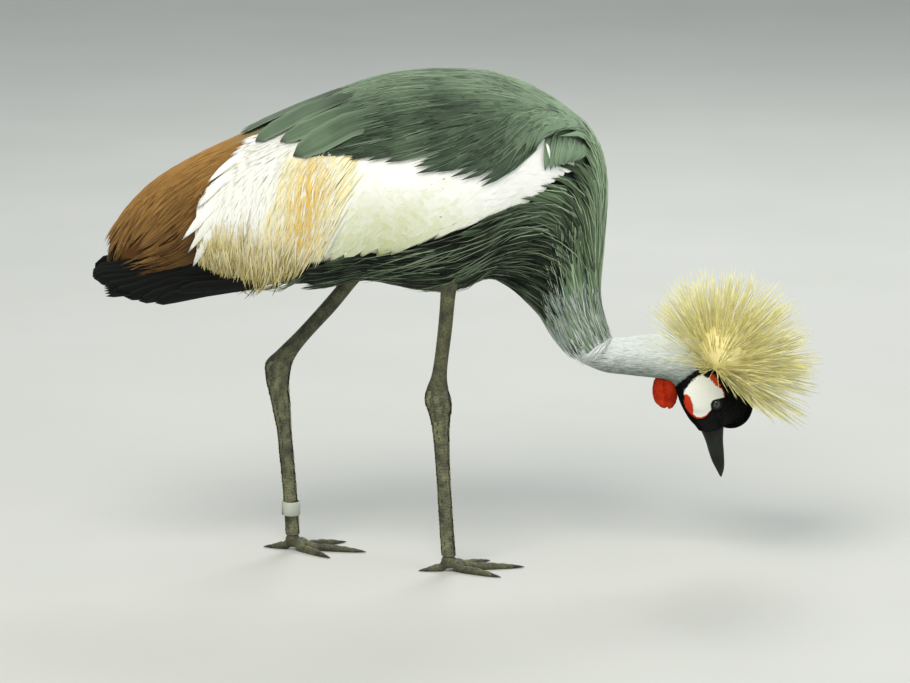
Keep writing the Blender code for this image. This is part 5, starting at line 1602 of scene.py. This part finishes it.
# %% Scutes
SCUTE = vane_form("scute_form", [(0, .9), (.3, 1), (.65, 1), (.85, .8)], (-1, -.6, 0, .6, 1), ARCH[1])
SCUTE_COLUMNS = ((0, 0.0052, 0.0100), (46, 0.0036, 0.0052), (-46, 0.0036, 0.0052), (180, 0.0046, 0.0078),
                 (136, 0.0034, 0.0048), (-136, 0.0034, 0.0048), (90, 0.0034, 0.0062), (-90, 0.0034, 0.0062))


def scutes(key, material):
    """Broad scutes in front of the foot bone and smaller ones beside them, each over the next below."""
    table, _, heel = LEGS[key]
    last, heights = len(table) - 1, table[:, 1]
    ways, sizes = [], []
    for column, step, width in SCUTE_COLUMNS:     # degrees round the leg, spacing and width
        z = heights[heel] + 0.012
        while z > 0.021:
            turn = column + rng.uniform(-9, 9)
            ways.append([(np.interp(step * share - z, -heights, np.arange(last + 1)), turn, lift)
                         for share, lift in ((0, -0.0004), (0.8, 0.0003), (1.5, 0.0002))])
            sizes.append(width)
            z -= step * rng.uniform(0.9, 1.1)

    def chart(s, a):
        return (a + 190) / 380, s / last
    s, a = grid(np.arange(0, last + 0.001, 0.1), np.arange(-190.0, 191, 10))
    ground = sheet("leg_surface", leg_point(key, s, a), *chart(s, a), 39)
    rows = vane_rows(*zip(*ways), np.array(sizes), 0.00035, chart)
    rows[4][:, :2] = 0.01 + 0.98 * rows[0][:, :2]
    lay("leg_scutes_" + key, SCUTE, material, *rows, ground=ground)


leg_scale = plain_material("leg_scale_skin", "#26281a", "#6a6a46", 0.55, 600.0, 0.0004, bumps=430.0)
scute_horn = plain_material("leg_scute_horn", "#34362a", "#7a7a58", 0.45, 700.0, 0.0002)
claw_horn = plain_material("claw_horn", "#141512", "#35352f", 0.4, 500.0, 0.0001)
for key, (table, _, _) in LEGS.items():
    place(leg_tube("leg_skin_" + key, key, np.arange(0.2, len(table) - 1 + 0.001, 0.05), 10.0),
          leg_scale, ("shin_" + key, "tarsus_" + key))
    place(foot(key), leg_scale, ("foot_" + key,))
    scutes(key, scute_horn)
    for toe in TOES:
        place(claw(key, *toe), claw_horn, (f"claw_{key}_{toe[0]}",))

# %% [markdown]
# ## Leg band
# The ring on the far leg is a strip of plastic bent round with its ends overlapping. It is
# blank. A wall with rounded edges and a short raised end is enough.

# %% Band
def band():
    middle = section_point(rows_at(FAR_LEG, np.array([12.0])), np.array([0.0]))[0][0] + [0, 0.046, 0]
    inner, wall, low, high, soft = 0.0089, 0.0012, 0.0410, 0.0570, 0.0004
    outline = [(0, low + soft), (soft, low), (wall - soft, low), (wall, low + soft),
               (wall, high - soft), (wall - soft, high), (soft, high), (0, high - soft)]
    turns, points = np.radians(np.arange(0, 396, 6.0)), []
    for turn in turns:
        grow = 0.0014 * np.clip((math.degrees(turn) - 350) / 20, 0, 1)
        angle = turn + math.radians(165)
        for r, z in outline:
            radius = inner + r + grow
            points.append((middle[0] + radius * math.cos(angle), middle[1] + radius * math.sin(angle), z))
    return mesh_piece("leg_band_ring", points, tube_faces(len(turns), len(outline)))


band_plastic = plain_material("leg_band_plastic", "#a3a99c", "#b9beb2", 0.4, 400.0, 0.0001)
place(band(), band_plastic, ("leg_band",))

# %% [markdown]
# ## The gap between the wings' ends
# Behind, the two folded wings part above the tail. Three rows of chestnut tips lie across the
# midline there, each row a little shorter than the one below it.

# %% Rump veil: x, z and half width along the midline
VEIL_LINE = metres("""-350 414 19, -374 395 19, -388 374 18, -395 352 17, -397 331 14""")


def rump_veil():
    places = [(0.99 - 0.13 * row - 0.05 * (k % 3) - 0.07 * abs(w), w + 0.07 * (row % 2), 0.0008 * row)
              for row in range(3) for k, w in enumerate(np.linspace(-0.92, 0.85, 8))]
    roots = [(max(v - 0.62, 0.02), w * 0.95, lift - 0.002) for v, w, lift in places]
    bends = [(v - 0.25, w, lift + 0.0012) for v, w, lift in places]
    tips = [(v, w, lift + 0.001) for v, w, lift in places]
    lay("rump_veil", LANCE, chestnut, *vane_rows(roots, bends, tips, 0.0085, 0.0007, fan_chart),
        ground=midline_fan(VEIL_LINE, 0.010))


rump_veil()

# %% [markdown]
# ## Floor, light and camera
# A pale floor, one large soft key from above the camera's left shoulder, a weaker fill and a
# bright sky keep the feathers' shading soft, as an overcast day does. The camera stands six
# metres off with a long lens, twelve degrees above the bird's side.

# %% Stage
def stage_floor():
    floor = mesh_piece("floor", [(-6, -6, 0), (6, -6, 0), (6, 6, 0), (-6, 6, 0)], [(0, 1, 2, 3)], smooth=False)
    made, tree, shader, where = new_material("pale_matt_floor")
    tone = add(tree, "Mix RGBA", [add(tree, "TexNoise", [where, 3.0]), colour("#c2c4bd"), colour("#cccdc8")])
    wire(tree, shader, {"Base Color": tone, "Roughness": 0.9})
    floor.data.materials.append(made)
    if floor.data.polygons[0].normal.z < 0:
        floor.data.flip_normals()


def aimed(obj, place_at, ahead):
    obj.location = place_at
    obj.rotation_euler = ahead.to_track_quat("-Z", "Y").to_euler()
    return obj


def lamp(name, place_at, aim, size, power, tone):
    data = bpy.data.lights.new(name, "AREA")
    data.shape, data.size, data.energy, data.color = "DISK", size, power, colour(tone)[:3]
    aimed(linked(name, data), place_at, Vector(aim) - Vector(place_at))


def camera(target, rise, distance, lens):
    data = bpy.data.cameras.new("camera")
    data.sensor_width, data.lens, data.clip_end = 36.0, lens, 50.0
    back = Vector((0, -math.cos(rise), math.sin(rise)))
    bpy.context.scene.camera = aimed(linked("camera", data), Vector(target) + back * distance, -back)


stage_floor()
lamp("key", (-0.8, -2.2, 3.2), (0, 0, 0.3), 2.2, 105, "#fffaf0")
lamp("fill", (2.6, -1.6, 1.6), (0.1, 0, 0.3), 2.0, 22, "#eef4ff")
lamp("rim", (0.6, 2.4, 2.4), (0, 0, 0.35), 1.6, 40, "#ffffff")
world = bpy.data.worlds.new("soft_sky")
world.use_nodes = True
wire(world.node_tree, world.node_tree.nodes["Background"], {"Color": colour("#e8eef2"), "Strength": 0.6})
bpy.context.scene.world = world
bpy.context.scene.view_settings.view_transform = "Standard"
camera((-0.0057, 0, 0.2536), math.radians(12), 6.0, 210.0)
print("camera set")

# %% [markdown]
# ## Close
# The helper surface and vane forms have done their work.

# %% Close
for helper in (surface, LANCE, STRAND, BROAD, TUFT, SCUTE):
    bpy.data.objects.remove(helper)
